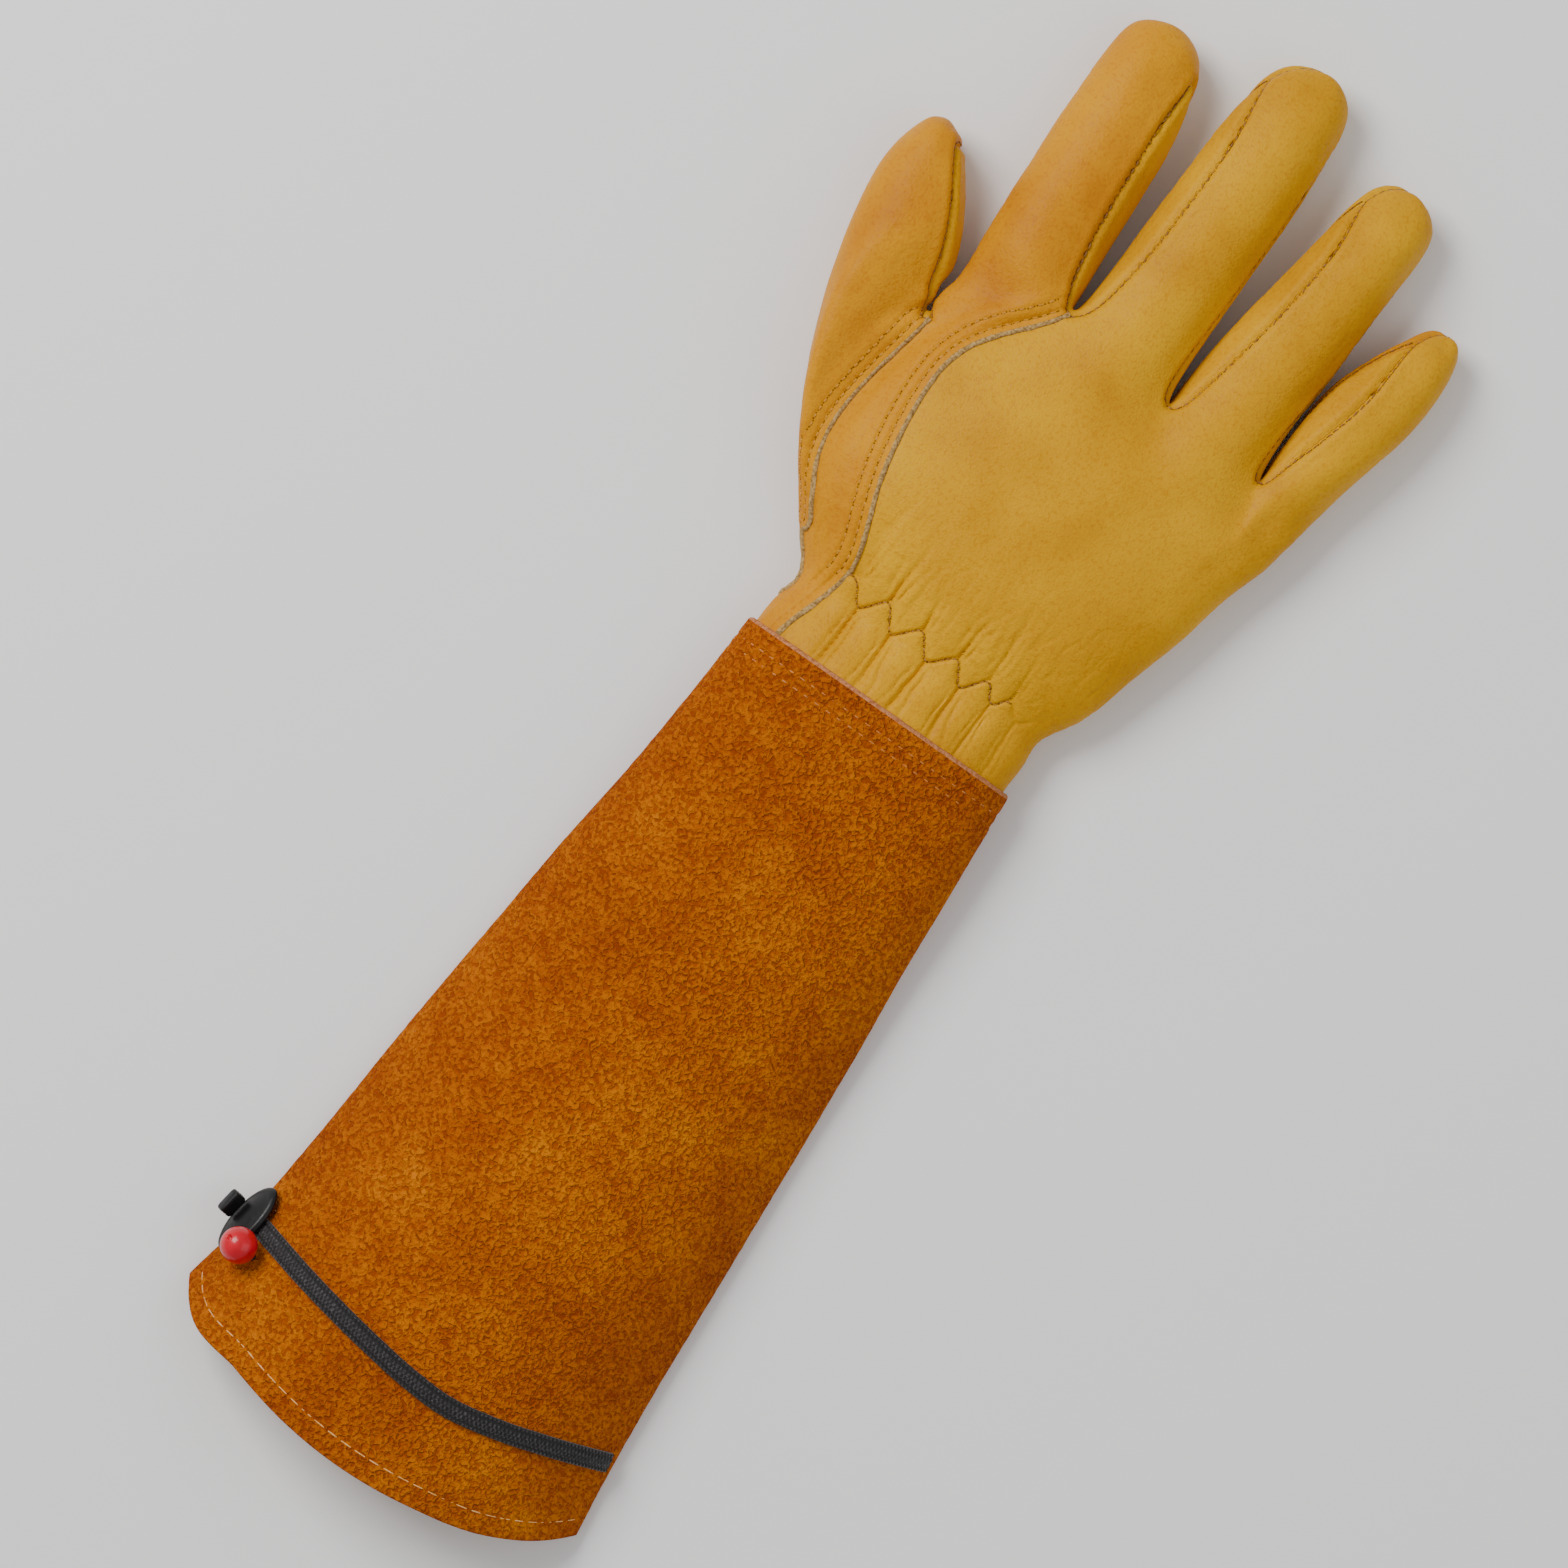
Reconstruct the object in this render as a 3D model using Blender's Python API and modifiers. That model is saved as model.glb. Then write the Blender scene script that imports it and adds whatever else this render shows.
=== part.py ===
"""Rose pruning gauntlet, right hand, lying back of the hand up.

Lengths are in millimetres until MM turns them to metres. +Y runs from the cuff's mouth to the
fingertips, +X is the little finger's side and +Z is up. The tables hold shares of named sizes.
"""

import math

import bmesh
import bpy
import numpy as np
from mathutils import Matrix, Vector
from mathutils.bvhtree import BVHTree

MM = 0.001

# Named sizes of the hand
HAND_LENGTH = 209.0
PALM_WIDTH = 115.0
PALM_HEIGHT = 30.0
LEATHER = 1.2
CROTCH_THINNING = 0.55
CROTCH_GAP = 1.8
SEAM_GAP = 0.36
NESTED_LENGTH = 11.4

# Named sizes of the cuff
CUFF_LENGTH = 251.0
CUFF_WIDTH = 128.0
CUFF_LEATHER = 1.3
HEM_FOLD = 0.9
HEM_DEPTH = 8.0
WRIST_HEIGHT = 27.0
MOUTH_HEIGHT = 34.0
WRIST_SIDE = 10.0
MOUTH_SIDE = 3.0
NEST_GAP = 0.5
LEAST_SIDE = 0.8
CUFF_COLUMNS = 22
CUFF_SPANS = 10

# Named sizes of the small pieces
PATCH_LEATHER = 1.0
PATCH_GAP = 0.55
PIECE_GAP = 0.3
STRAP_GAP = 0.4
STRAP_WIDTH = 5.7
STRAP_THICKNESS = 1.2
BEAD_DIAMETER = 10.3
PLATE_LENGTH = 22.0
PLATE_WIDTH = 12.0
PLATE_THICKNESS = 1.4
BLOCK_LENGTH = 7.0
BLOCK_WIDTH = 3.2
BLOCK_HEIGHT = 4.0
BLOCK_ROUNDING = 0.4
CORD_DIAMETER = 1.6

# The elastic's gathers across the back of the wrist
GATHER_PERIOD = 11.0
GATHER_DEPTH = 0.9
ELASTIC_ALONG = 0.092
GATHER_REACH = 13.0
GATHER_SINK = 0.6
# Where the gathers start and where they are full: shares of PALM_WIDTH, PALM_HEIGHT, HAND_LENGTH
GATHER_LEFT = (-0.27, -0.20)
GATHER_RIGHT = (0.34, 0.26)
GATHER_UP = (0.35, 0.60)
GATHER_ALONG = (-0.005, 0.030)

# How the sections bend: how far a side turns down to the floor, and how an arch falls to its side
CORNER_REACH = 1.4
CORNER_LIMIT = 0.8
ARCH_POWER = 2.1
PALM_ARCH = 0.55
CROTCH_ARCH = 0.50
CUFF_ARCHES = (0.52, 0.78)
# How much further in the cuff's inner skin lies at its sides, at the wrist and at the mouth
SIDE_INSETS = (1.15, 2.05)
# Over which share of the cuff its sides turn low and its arch turns round
SIDE_REACH = 0.50
ARCH_REACH = 0.45

# The points of a palm row: lines 0 to 12 over the top, the little side, lines 12 to 0 under the
# sole, the thumb side. The crotches grow from every third line.
LINE_COUNT = 13
LITTLE_SIDE, SOLE_START, THUMB_SIDE = LINE_COUNT, 2 * LINE_COUNT, 2 * LINE_COUNT + 1
CROTCH_LINE_INDEX = (3, 6, 9)
FINGER_LINE_INDEX = (0, 3, 6, 9, 12)
LAP_LINE_INDEX = 3
THUMB_LINE_INDEX = 2
SPREAD_ALONG = (0.05, 0.50)

# Columns: along at the left, along at the right (shares of HAND_LENGTH), left side, right side,
# lapped seam on top, thumb seam on the sole (shares of PALM_WIDTH), top, side (shares of PALM_HEIGHT)
PALM_ROWS = (
    (0.045, 0.045, -0.344, 0.358, -0.275, -0.278, 0.783, 0.333),
    (0.085, 0.085, -0.332, 0.358, -0.255, -0.202, 0.750, 0.333),
    (0.136, 0.133, -0.400, 0.412, -0.240, -0.186, 0.867, 0.367),
    (0.207, 0.205, -0.487, 0.449, -0.289, -0.224, 0.983, 0.400),
    (0.291, 0.285, -0.511, 0.489, -0.328, -0.301, 1.017, 0.400),
    (0.388, 0.368, -0.482, 0.522, -0.344, -0.341, 1.000, 0.400),
    (0.453, 0.422, -0.447, 0.555, -0.315, -0.301, 0.950, 0.400),
)
# Where the lapped seam and the thumb seam cross the cuff's end (shares of PALM_WIDTH)
WRIST_LAP = -0.301
WRIST_THUMB = -0.300
# Columns: across (share of PALM_WIDTH), along (share of HAND_LENGTH), thumb side to little side
CROTCHES = (
    (-0.428, 0.518),
    (-0.165, 0.554),
    (0.146, 0.518),
    (0.431, 0.502),
    (0.579, 0.482),
)
CROTCH_TOP = 0.90
CROTCH_SIDE = 0.42
CROTCH_DIP = 0.86
CROTCH_RISE = 1.96
CORNER_INSET = 0.031
EDGE_SHARE = 0.28
SOLE_FLOOR = 2.0

# Columns: along (share of HAND_LENGTH), left, right (shares of PALM_WIDTH), height (share of
# PALM_HEIGHT), roll about the finger's length in degrees. The last row is the tip.
FINGERS = {
    "index": (
        (0.593, -0.435, -0.168, 0.817, -10),
        (0.699, -0.445, -0.181, 0.800, -20),
        (0.805, -0.453, -0.195, 0.767, -20),
        (0.899, -0.442, -0.233, 0.633, -20),
        (0.939, -0.334, -0.334, 0.400, -20),
    ),
    "middle": (
        (0.598, -0.144, 0.132, 0.867, 10),
        (0.712, -0.136, 0.132, 0.833, 20),
        (0.829, -0.127, 0.133, 0.800, 20),
        (0.948, -0.106, 0.118, 0.650, 20),
        (1.000, 0.012, 0.012, 0.400, 20),
    ),
    "ring": (
        (0.570, 0.155, 0.416, 0.833, 14),
        (0.680, 0.175, 0.426, 0.800, 27),
        (0.790, 0.207, 0.433, 0.767, 27),
        (0.891, 0.238, 0.438, 0.617, 27),
        (0.937, 0.332, 0.332, 0.400, 27),
    ),
    "little": (
        (0.565, 0.427, 0.606, 0.733, 22),
        (0.641, 0.431, 0.640, 0.700, 44),
        (0.719, 0.468, 0.661, 0.650, 44),
        (0.779, 0.518, 0.656, 0.533, 44),
        (0.813, 0.595, 0.595, 0.360, 44),
    ),
}
FINGER_ANGLES = (150, 110, 70, 30, 0, -30, -70, -110, -150, 180)
FINGER_FLOOR = 0.7
TIP_SPREAD = 0.32

# Columns: outer across, outer along, inner across, inner along, bow, middle height, half height.
# Across and bow are shares of PALM_WIDTH, along of HAND_LENGTH, heights of PALM_HEIGHT. The last
# row is the tip.
THUMB_ROWS = (
    (-0.487, 0.203, -0.447, 0.462, 0.094, 0.387, 0.320),
    (-0.569, 0.274, -0.449, 0.474, 0.099, 0.393, 0.360),
    (-0.649, 0.375, -0.452, 0.495, 0.094, 0.393, 0.373),
    (-0.708, 0.478, -0.452, 0.528, 0.066, 0.387, 0.373),
    (-0.734, 0.579, -0.511, 0.594, 0.033, 0.373, 0.347),
    (-0.713, 0.647, -0.588, 0.651, 0.016, 0.347, 0.260),
    (-0.687, 0.669, -0.631, 0.669, 0.009, 0.333, 0.000),
)
THUMB_ANGLES = (155, 130, 105, 80, 53, 0, -50, -75, -100, -125, -155, 180)
THUMB_FIRST_ROW = 4
THUMB_LAST_ROW = 8
FRONTS_ROW = 9
FRONTS_LINE_INDEX = range(17, 23)
WRAP_FIRST_ROW = 2
FRONTS_SHARE = 0.55

# Columns: along from the wrist (share of CUFF_LENGTH), left, right (shares of CUFF_WIDTH)
CUFF_ROWS = (
    (0.000, -0.334, 0.334),
    (0.108, -0.345, 0.349),
    (0.216, -0.364, 0.364),
    (0.323, -0.389, 0.383),
    (0.431, -0.408, 0.400),
    (0.539, -0.427, 0.416),
    (0.647, -0.444, 0.431),
    (0.755, -0.461, 0.446),
    (0.862, -0.484, 0.467),
    (0.938, -0.512, 0.486),
    (1.000, -0.524, 0.500),
)
# Columns: across (share of the half width), along (share of CUFF_LENGTH)
MOUTH_EDGE = (
    (-1.00, 0.934),
    (-0.92, 0.957),
    (-0.60, 0.981),
    (-0.25, 0.997),
    (0.00, 1.000),
    (0.33, 0.993),
    (0.65, 0.976),
    (0.90, 0.945),
    (1.00, 0.926),
)
# Columns: across (share of CUFF_WIDTH), along (share of CUFF_LENGTH)
STRAP_LINE = (
    (-0.457, 0.842),
    (-0.433, 0.844),
    (-0.298, 0.857),
    (-0.127, 0.871),
    (0.000, 0.879),
    (0.085, 0.881),
    (0.211, 0.871),
    (0.317, 0.857),
    (0.446, 0.838),
)
# Places across the cuff's flat underside, as shares of its half width
FLOOR_SHARES = (0.985, 0.965, 0.93, 0.8, 0.5, 0.0)
SLOPE_STEP = 0.5
STRAP_STEPS = 34
PLATE_CENTRE = (-0.457, 0.846)
PLATE_BULGE = 1.4
PLATE_TURN = 10.0
PLATE_RING_COUNT = 3
PLATE_SIDE_COUNT = 18
BEAD_CENTRE = (-0.4165, 0.874)
CORD_LENGTH = 1.8
CORD_SIDE_COUNT = 10
BEAD_STEPS = (16, 9)

# Columns: across (share of PALM_WIDTH), lower edge along, upper edge along (shares of HAND_LENGTH)
PATCH_SHAPE = (
    (-0.330, 0.392, 0.462),
    (-0.240, 0.386, 0.483),
    (-0.148, 0.379, 0.492),
    (0.000, 0.342, 0.502),
    (0.125, 0.300, 0.496),
    (0.273, 0.267, 0.485),
    (0.400, 0.236, 0.474),
)
PATCH_STEPS = (16, 6)

# Panels of the hand, by the number that each face of the cage carries
BACK, PALM, FRONTS, FORK_INDEX, FORK_MIDDLE, FORK_RING, THUMB, GUSSET = range(8)
PANEL_NAMES = (
    "back_panel",
    "palm_panel",
    "finger_fronts",
    "fourchette_index_middle",
    "fourchette_middle_ring",
    "fourchette_ring_little",
    "thumb_wrap",
    "thumb_gusset",
)

# How the cage is fitted to its points, and the sharpest corner that a seam's gap turns round
FIT_STEPS = 7
FIT_SHARE = 0.9
SHARPEST_CORNER = 0.35

# Columns: base colour, roughness
GRAIN_LEATHER = ((0.86, 0.47, 0.03), 0.5)
SUEDE = ((0.62, 0.21, 0.005), 0.9)
WEBBING = ((0.012, 0.010, 0.010), 0.85)
DARK_PLASTIC = ((0.012, 0.010, 0.010), 0.4)
RED_BEAD = ((0.74, 0.008, 0.03), 0.1)

COLLECTION_NAME = "rose pruning gauntlet"


def clear_scene():
    """Remove the objects that Blender starts with."""
    for old in list(bpy.data.objects):
        bpy.data.objects.remove(old, do_unlink=True)


def smooth_table_value(table, at, column):
    """Read one column along a smooth curve through the table's rows."""
    keys = np.array([row[0] for row in table])
    values = np.array([row[column] for row in table])
    slopes = np.gradient(values, keys)
    at = min(max(at, keys[0]), keys[-1])
    i = min(int(np.searchsorted(keys, at, side="right")) - 1, len(keys) - 2)
    step = keys[i + 1] - keys[i]
    t = (at - keys[i]) / step
    start = (1 + 2 * t) * (1 - t) ** 2 * values[i] + t * (1 - t) ** 2 * step * slopes[i]
    end = t * t * (3 - 2 * t) * values[i + 1] + t * t * (t - 1) * step * slopes[i + 1]
    return float(start + end)


def smoothstep(low, high, value):
    """Rise smoothly from 0 at low to 1 at high."""
    t = np.clip((value - low) / (high - low), 0.0, 1.0)
    return t * t * (3 - 2 * t)


class Section:
    """One cross-section of the cuff or the palm: flat floor, round sides and an arched top."""

    def __init__(self, left, right, floor, side, top, roundness):
        self.left = left
        self.right = right
        self.floor = floor
        self.side = side
        self.top = top
        self.roundness = roundness
        self.middle = (left + right) / 2
        self.half = (right - left) / 2
        self.corner = min(CORNER_REACH * (side - floor), CORNER_LIMIT * self.half)

    def top_at(self, x):
        """Height of the arched top over a place across."""
        u = min(abs(x - self.middle) / self.half, 1.0)
        return self.side + (self.top - self.side) * (1 - u**ARCH_POWER) ** self.roundness

    def floor_at(self, x):
        """Height of the flat floor, which turns up at the sides."""
        inside = self.half - min(abs(x - self.middle), self.half)
        if inside >= self.corner:
            return self.floor
        turn = (self.corner - inside) / self.corner
        return self.side - (self.side - self.floor) * math.sqrt(1 - turn * turn)

    def place(self, share):
        """The place across that a share of the half width stands for."""
        return self.middle + self.half * share


def cuff_section(y, inset):
    """The cuff's section at a place along, moved in by a distance."""
    along = min(max(-y / CUFF_LENGTH, 0.0), 1.0)
    left = smooth_table_value(CUFF_ROWS, along, 1) * CUFF_WIDTH
    right = smooth_table_value(CUFF_ROWS, along, 2) * CUFF_WIDTH
    side = WRIST_SIDE + (MOUTH_SIDE - WRIST_SIDE) * smoothstep(0.0, SIDE_REACH, along)
    top = WRIST_HEIGHT + (MOUTH_HEIGHT - WRIST_HEIGHT) * smoothstep(0.0, 1.0, along)
    turned = smoothstep(0.0, ARCH_REACH, along)
    roundness = CUFF_ARCHES[0] + (CUFF_ARCHES[1] - CUFF_ARCHES[0]) * turned
    sideways = inset * (SIDE_INSETS[0] + (SIDE_INSETS[1] - SIDE_INSETS[0]) * turned)
    raised = max(side, inset + LEAST_SIDE)
    return Section(left + sideways, right - sideways, inset, raised, top - inset, roundness)


def palm_section(row):
    """The palm's section at one row of PALM_ROWS."""
    left = row[2] * PALM_WIDTH
    right = row[3] * PALM_WIDTH
    top, side = row[6] * PALM_HEIGHT, row[7] * PALM_HEIGHT
    return Section(left, right, SOLE_FLOOR, side, top, PALM_ARCH)


def column_places(start, lap, end, spread, lap_line):
    """Places across of a palm row's lines, evenly spaced at the wrist, by finger at the crotches."""
    first = list(np.linspace(start, lap, lap_line + 1))
    even = np.linspace(lap, end, LINE_COUNT - lap_line)[1:]
    marks = [lap_line] + [line for line in FINGER_LINE_INDEX if line > lap_line]
    crotches = [share[0] * PALM_WIDTH for share in CROTCHES[1:4]]
    places = [lap] + crotches[5 - len(marks) :] + [end]
    by_finger = np.interp(np.arange(lap_line + 1, LINE_COUNT), marks, places)
    rest = even + (by_finger - even) * spread
    return first + list(rest)


def palm_ring(left_y, right_y, section, lap, thumb_line, spread):
    """The points of one palm row: top, little side, sole, thumb side."""
    inset = CORNER_INSET * PALM_WIDTH
    start = section.left + min(inset, EDGE_SHARE * (lap - section.left))
    end = section.right - inset
    tops = column_places(start, lap, end, spread, LAP_LINE_INDEX)
    soles = column_places(start, thumb_line, end, spread, THUMB_LINE_INDEX)

    def along(x):
        return left_y + (right_y - left_y) * (x - start) / (end - start)

    ring = [(x, along(x), section.top_at(x)) for x in tops]
    ring.append((section.right, right_y, section.side))
    ring += [(x, along(x), section.floor_at(x)) for x in reversed(soles)]
    ring.append((section.left, left_y, section.side))
    return ring


def crotch_ring():
    """The points of the row where the fingers part."""
    marks = [share[0] * PALM_WIDTH for share in CROTCHES]
    places = [share[1] * HAND_LENGTH for share in CROTCHES]
    left, right = marks[0], marks[-1]
    inset = CORNER_INSET * PALM_WIDTH
    top = CROTCH_TOP * PALM_HEIGHT
    section = Section(left, right, SOLE_FLOOR, CROTCH_SIDE * PALM_HEIGHT, top, CROTCH_ARCH)
    marks[0] += inset
    marks[-1] -= inset
    lines = np.arange(LINE_COUNT)
    across = np.interp(lines, FINGER_LINE_INDEX, marks)
    alongs = np.interp(lines, FINGER_LINE_INDEX, places)
    parted = np.isin(lines, CROTCH_LINE_INDEX)
    ring = []
    soles = []
    for x, y, crotch in zip(across, alongs, parted):
        ring.append((x, y, section.top_at(x) * (CROTCH_DIP if crotch else 1.0)))
        soles.append((x, y, section.floor_at(x) + (CROTCH_RISE if crotch else 0.0)))
    ring.append((section.right, places[-1], section.side))
    ring += soles[::-1]
    ring.append((section.left, places[0], section.side))
    return ring


def finger_ring(row):
    """The 10 points of one row of a finger."""
    along, left, right, height, roll = row
    middle = (left + right) / 2 * PALM_WIDTH
    half = (right - left) / 2 * PALM_WIDTH
    tall = (height * PALM_HEIGHT - FINGER_FLOOR) / 2
    ring = []
    for angle in FINGER_ANGLES:
        turned = math.radians(angle - roll)
        x = middle + half * math.cos(turned)
        ring.append((x, along * HAND_LENGTH, FINGER_FLOOR + tall + tall * math.sin(turned)))
    return ring


def finger_tip(last, tip, count):
    """The points inside a tip's cap, along its middle line."""
    along, left, _, height, _ = tip
    half = (last[2] - last[1]) / 2 * PALM_WIDTH
    centre = left * PALM_WIDTH
    z = FINGER_FLOOR + (last[3] * PALM_HEIGHT - FINGER_FLOOR) / 2
    shares = np.linspace(-TIP_SPREAD, TIP_SPREAD, count)
    return [(centre + half * s, along * HAND_LENGTH, z) for s in shares]


def thumb_place(row, share):
    """A place on the bowed line between a thumb row's outer and inner side."""
    outer = np.array((row[0] * PALM_WIDTH, row[1] * HAND_LENGTH))
    inner = np.array((row[2] * PALM_WIDTH, row[3] * HAND_LENGTH))
    line = inner - outer
    away = np.array((-line[1], line[0])) / max(np.linalg.norm(line), 1e-6)
    bow = row[4] * PALM_WIDTH * (1 - (2 * share - 1) ** 2)
    return outer + line * share + away * bow


def thumb_ring(row):
    """The 12 points of one row of the thumb."""
    ring = []
    for angle in THUMB_ANGLES:
        turned = math.radians(angle)
        x, y = thumb_place(row, (1 + math.cos(turned)) / 2)
        z = (row[5] + row[6] * math.sin(turned)) * PALM_HEIGHT
        ring.append((x, y, z))
    return ring


def thumb_tip(row):
    """The three points inside the thumb's cap."""
    places = [thumb_place(row, share) for share in (0.0, 0.5, 1.0)]
    return [(x, y, row[5] * PALM_HEIGHT) for x, y in places]


class Cage:
    """The hand's coarse quads: the points that the leather passes through, and each face's panel."""

    def __init__(self):
        self.points = []
        self.faces = []
        self.panels = []
        self.rounded = []

    def add_ring(self, ring):
        """Add a row of points and return their numbers."""
        first = len(self.points)
        self.points += [tuple(map(float, point)) for point in ring]
        return list(range(first, first + len(ring)))

    def add_face(self, corners, panel):
        self.faces.append(tuple(corners))
        self.panels.append(panel)

    def join_rings(self, low, high, panel_of):
        """Join two rows by quads, with the panel that a function gives for each side."""
        count = len(low)
        for k in range(count):
            panel = panel_of(k)
            if panel is None:
                continue
            after = (k + 1) % count
            self.add_face((low[k], low[after], high[after], high[k]), panel)

    def close_tip(self, ring, inside, top_panel, sole_panel):
        """Close a finger or the thumb by a cap two quads high."""
        wide = len(inside) + 1
        top = ring[: wide + 1]
        sole = ring[wide + 2 : 2 * wide + 3][::-1]
        line = [ring[-1]] + inside + [ring[wide + 1]]
        for k in range(wide):
            self.add_face((top[k], top[k + 1], line[k + 1], line[k]), top_panel)
            self.add_face((line[k], line[k + 1], sole[k + 1], sole[k]), sole_panel)


def palm_panel_of(row, k):
    """The panel of one quad of the palm, or none where the thumb grows."""
    if k in (SOLE_START, THUMB_SIDE) and THUMB_FIRST_ROW <= row < THUMB_LAST_ROW:
        return None
    if k == SOLE_START and WRAP_FIRST_ROW <= row < THUMB_FIRST_ROW:
        return THUMB
    if k in (SOLE_START - 2, SOLE_START - 1) and WRAP_FIRST_ROW <= row < THUMB_LAST_ROW - 1:
        return THUMB
    if row == FRONTS_ROW and k in FRONTS_LINE_INDEX:
        return FRONTS
    if LAP_LINE_INDEX <= k <= LITTLE_SIDE:
        return BACK
    return PALM


def palm_rings():
    """All rows of the palm, from inside the cuff to the crotches."""
    inset = CUFF_LEATHER + NEST_GAP
    rings = []
    for y in (-NESTED_LENGTH, 0.0):
        section = cuff_section(y, inset)
        rings.append(palm_ring(y, y, section, WRIST_LAP * PALM_WIDTH, WRIST_THUMB * PALM_WIDTH, 0.0))
    for row in PALM_ROWS:
        spread = smoothstep(*SPREAD_ALONG, row[0])
        low, high = row[0] * HAND_LENGTH, row[1] * HAND_LENGTH
        lap, thumb_line = row[4] * PALM_WIDTH, row[5] * PALM_WIDTH
        rings.append(palm_ring(low, high, palm_section(row), lap, thumb_line, spread))
    crotches = np.array(crotch_ring())
    before = np.array(rings[-1])
    rings.append(before + (crotches - before) * FRONTS_SHARE)
    rings.append(crotches)
    return rings


def hand_cage():
    """The whole hand: palm, four fingers and the thumb."""
    cage = Cage()
    rows = [cage.add_ring(ring) for ring in palm_rings()]
    for i in range(len(rows) - 1):
        cage.join_rings(rows[i], rows[i + 1], lambda k, i=i: palm_panel_of(i, k))
    last = rows[-1]
    side_height = CROTCH_SIDE * PALM_HEIGHT
    between = []
    for share in CROTCHES[1:4]:
        between += cage.add_ring([(share[0] * PALM_WIDTH, share[1] * HAND_LENGTH, side_height)])
    sides = [last[THUMB_SIDE]] + between + [last[LITTLE_SIDE]]
    cage.rounded += between + [last[line] for line in CROTCH_LINE_INDEX]
    cage.rounded += [last[SOLE_START - line] for line in CROTCH_LINE_INDEX]
    tops = (PALM, BACK, BACK, BACK)
    soles = (PALM, FRONTS, FRONTS, PALM)
    rights = (FORK_INDEX, FORK_MIDDLE, FORK_RING, BACK)
    lefts = (PALM, FORK_INDEX, FORK_MIDDLE, FORK_RING)
    for f, table in enumerate(FINGERS.values()):
        start, end = FINGER_LINE_INDEX[f], FINGER_LINE_INDEX[f + 1]
        ring = last[start : end + 1] + [sides[f + 1]]
        ring += [last[SOLE_START - line] for line in range(end, start - 1, -1)]
        ring.append(sides[f])
        by_side = [tops[f]] * 3 + [rights[f]] * 2 + [soles[f]] * 3 + [lefts[f]] * 2
        for row in table[:-1]:
            after = cage.add_ring(finger_ring(row))
            cage.join_rings(ring, after, lambda k, s=by_side: s[k])
            ring = after
        inside = cage.add_ring(finger_tip(table[-2], table[-1], 2))
        cage.close_tip(ring, inside, tops[f], soles[f])
    grow_thumb(cage, rows)
    return tidy_cage(cage)


def grow_thumb(cage, rows):
    """Grow the thumb from the open patch on the palm's side."""
    first, final = THUMB_FIRST_ROW, THUMB_LAST_ROW
    cage.rounded += [rows[final][0], rows[final][SOLE_START], rows[final][THUMB_SIDE]]
    cage.rounded += [rows[i][SOLE_START] for i in range(first + 1, final)]
    ring = [rows[i][0] for i in range(first, final + 1)]
    ring.append(rows[final][THUMB_SIDE])
    ring += [rows[i][SOLE_START] for i in range(final, first - 1, -1)]
    ring.append(rows[first][THUMB_SIDE])
    for row in THUMB_ROWS[:-1]:
        after = cage.add_ring(thumb_ring(row))
        cage.join_rings(ring, after, lambda k: GUSSET if k in (4, 5) else THUMB)
        ring = after
    inside = cage.add_ring(thumb_tip(THUMB_ROWS[-1]))
    cage.close_tip(ring, inside, THUMB, THUMB)


def tidy_cage(cage):
    """Drop the points that no face uses."""
    used = sorted({corner for face in cage.faces for corner in face})
    numbers = {old: new for new, old in enumerate(used)}
    points = np.array([cage.points[old] for old in used])
    faces = [tuple(numbers[corner] for corner in face) for face in cage.faces]
    rounded = [numbers[old] for old in cage.rounded]
    return points, faces, cage.panels, rounded


def smoothed(points, faces, panels, levels):
    """Catmull-Clark surface of a cage: points, quads and each quad's panel."""
    mesh = bpy.data.meshes.new("cage")
    mesh.from_pydata([tuple(p) for p in points], [], faces)
    mesh.polygons.foreach_set("material_index", panels)
    mesh.update()
    body = bpy.data.objects.new("cage", mesh)
    bpy.context.scene.collection.objects.link(body)
    modifier = body.modifiers.new("smooth", "SUBSURF")
    modifier.levels = levels
    modifier.render_levels = levels
    depsgraph = bpy.context.evaluated_depsgraph_get()
    shaped = body.evaluated_get(depsgraph)
    result = shaped.to_mesh()
    coordinates = np.empty(len(result.vertices) * 3)
    result.vertices.foreach_get("co", coordinates)
    quads = [tuple(face.vertices) for face in result.polygons]
    numbers = [face.material_index for face in result.polygons]
    shaped.to_mesh_clear()
    bpy.data.objects.remove(body, do_unlink=True)
    bpy.data.meshes.remove(mesh)
    return coordinates.reshape(-1, 3), quads, numbers


def fitted_cage(points, faces, panels, rounded):
    """Move the cage so that its smooth surface passes through its points, but for the rounded ones."""
    cage = points.copy()
    share = np.full((len(points), 1), FIT_SHARE)
    share[rounded] = 0.0
    for _ in range(FIT_STEPS):
        surface, _, _ = smoothed(cage, faces, panels, 1)
        cage += share * (points - surface[: len(points)])
    return cage


def vertex_normals(points, faces):
    """Area-weighted normals of a quad mesh."""
    normals = np.zeros_like(points)
    quads = np.array(faces)
    across = points[quads[:, 2]] - points[quads[:, 0]]
    up = points[quads[:, 3]] - points[quads[:, 1]]
    face_normals = np.cross(across, up)
    for k in range(4):
        np.add.at(normals, quads[:, k], face_normals)
    lengths = np.linalg.norm(normals, axis=1, keepdims=True)
    return normals / np.maximum(lengths, 1e-9)


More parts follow.
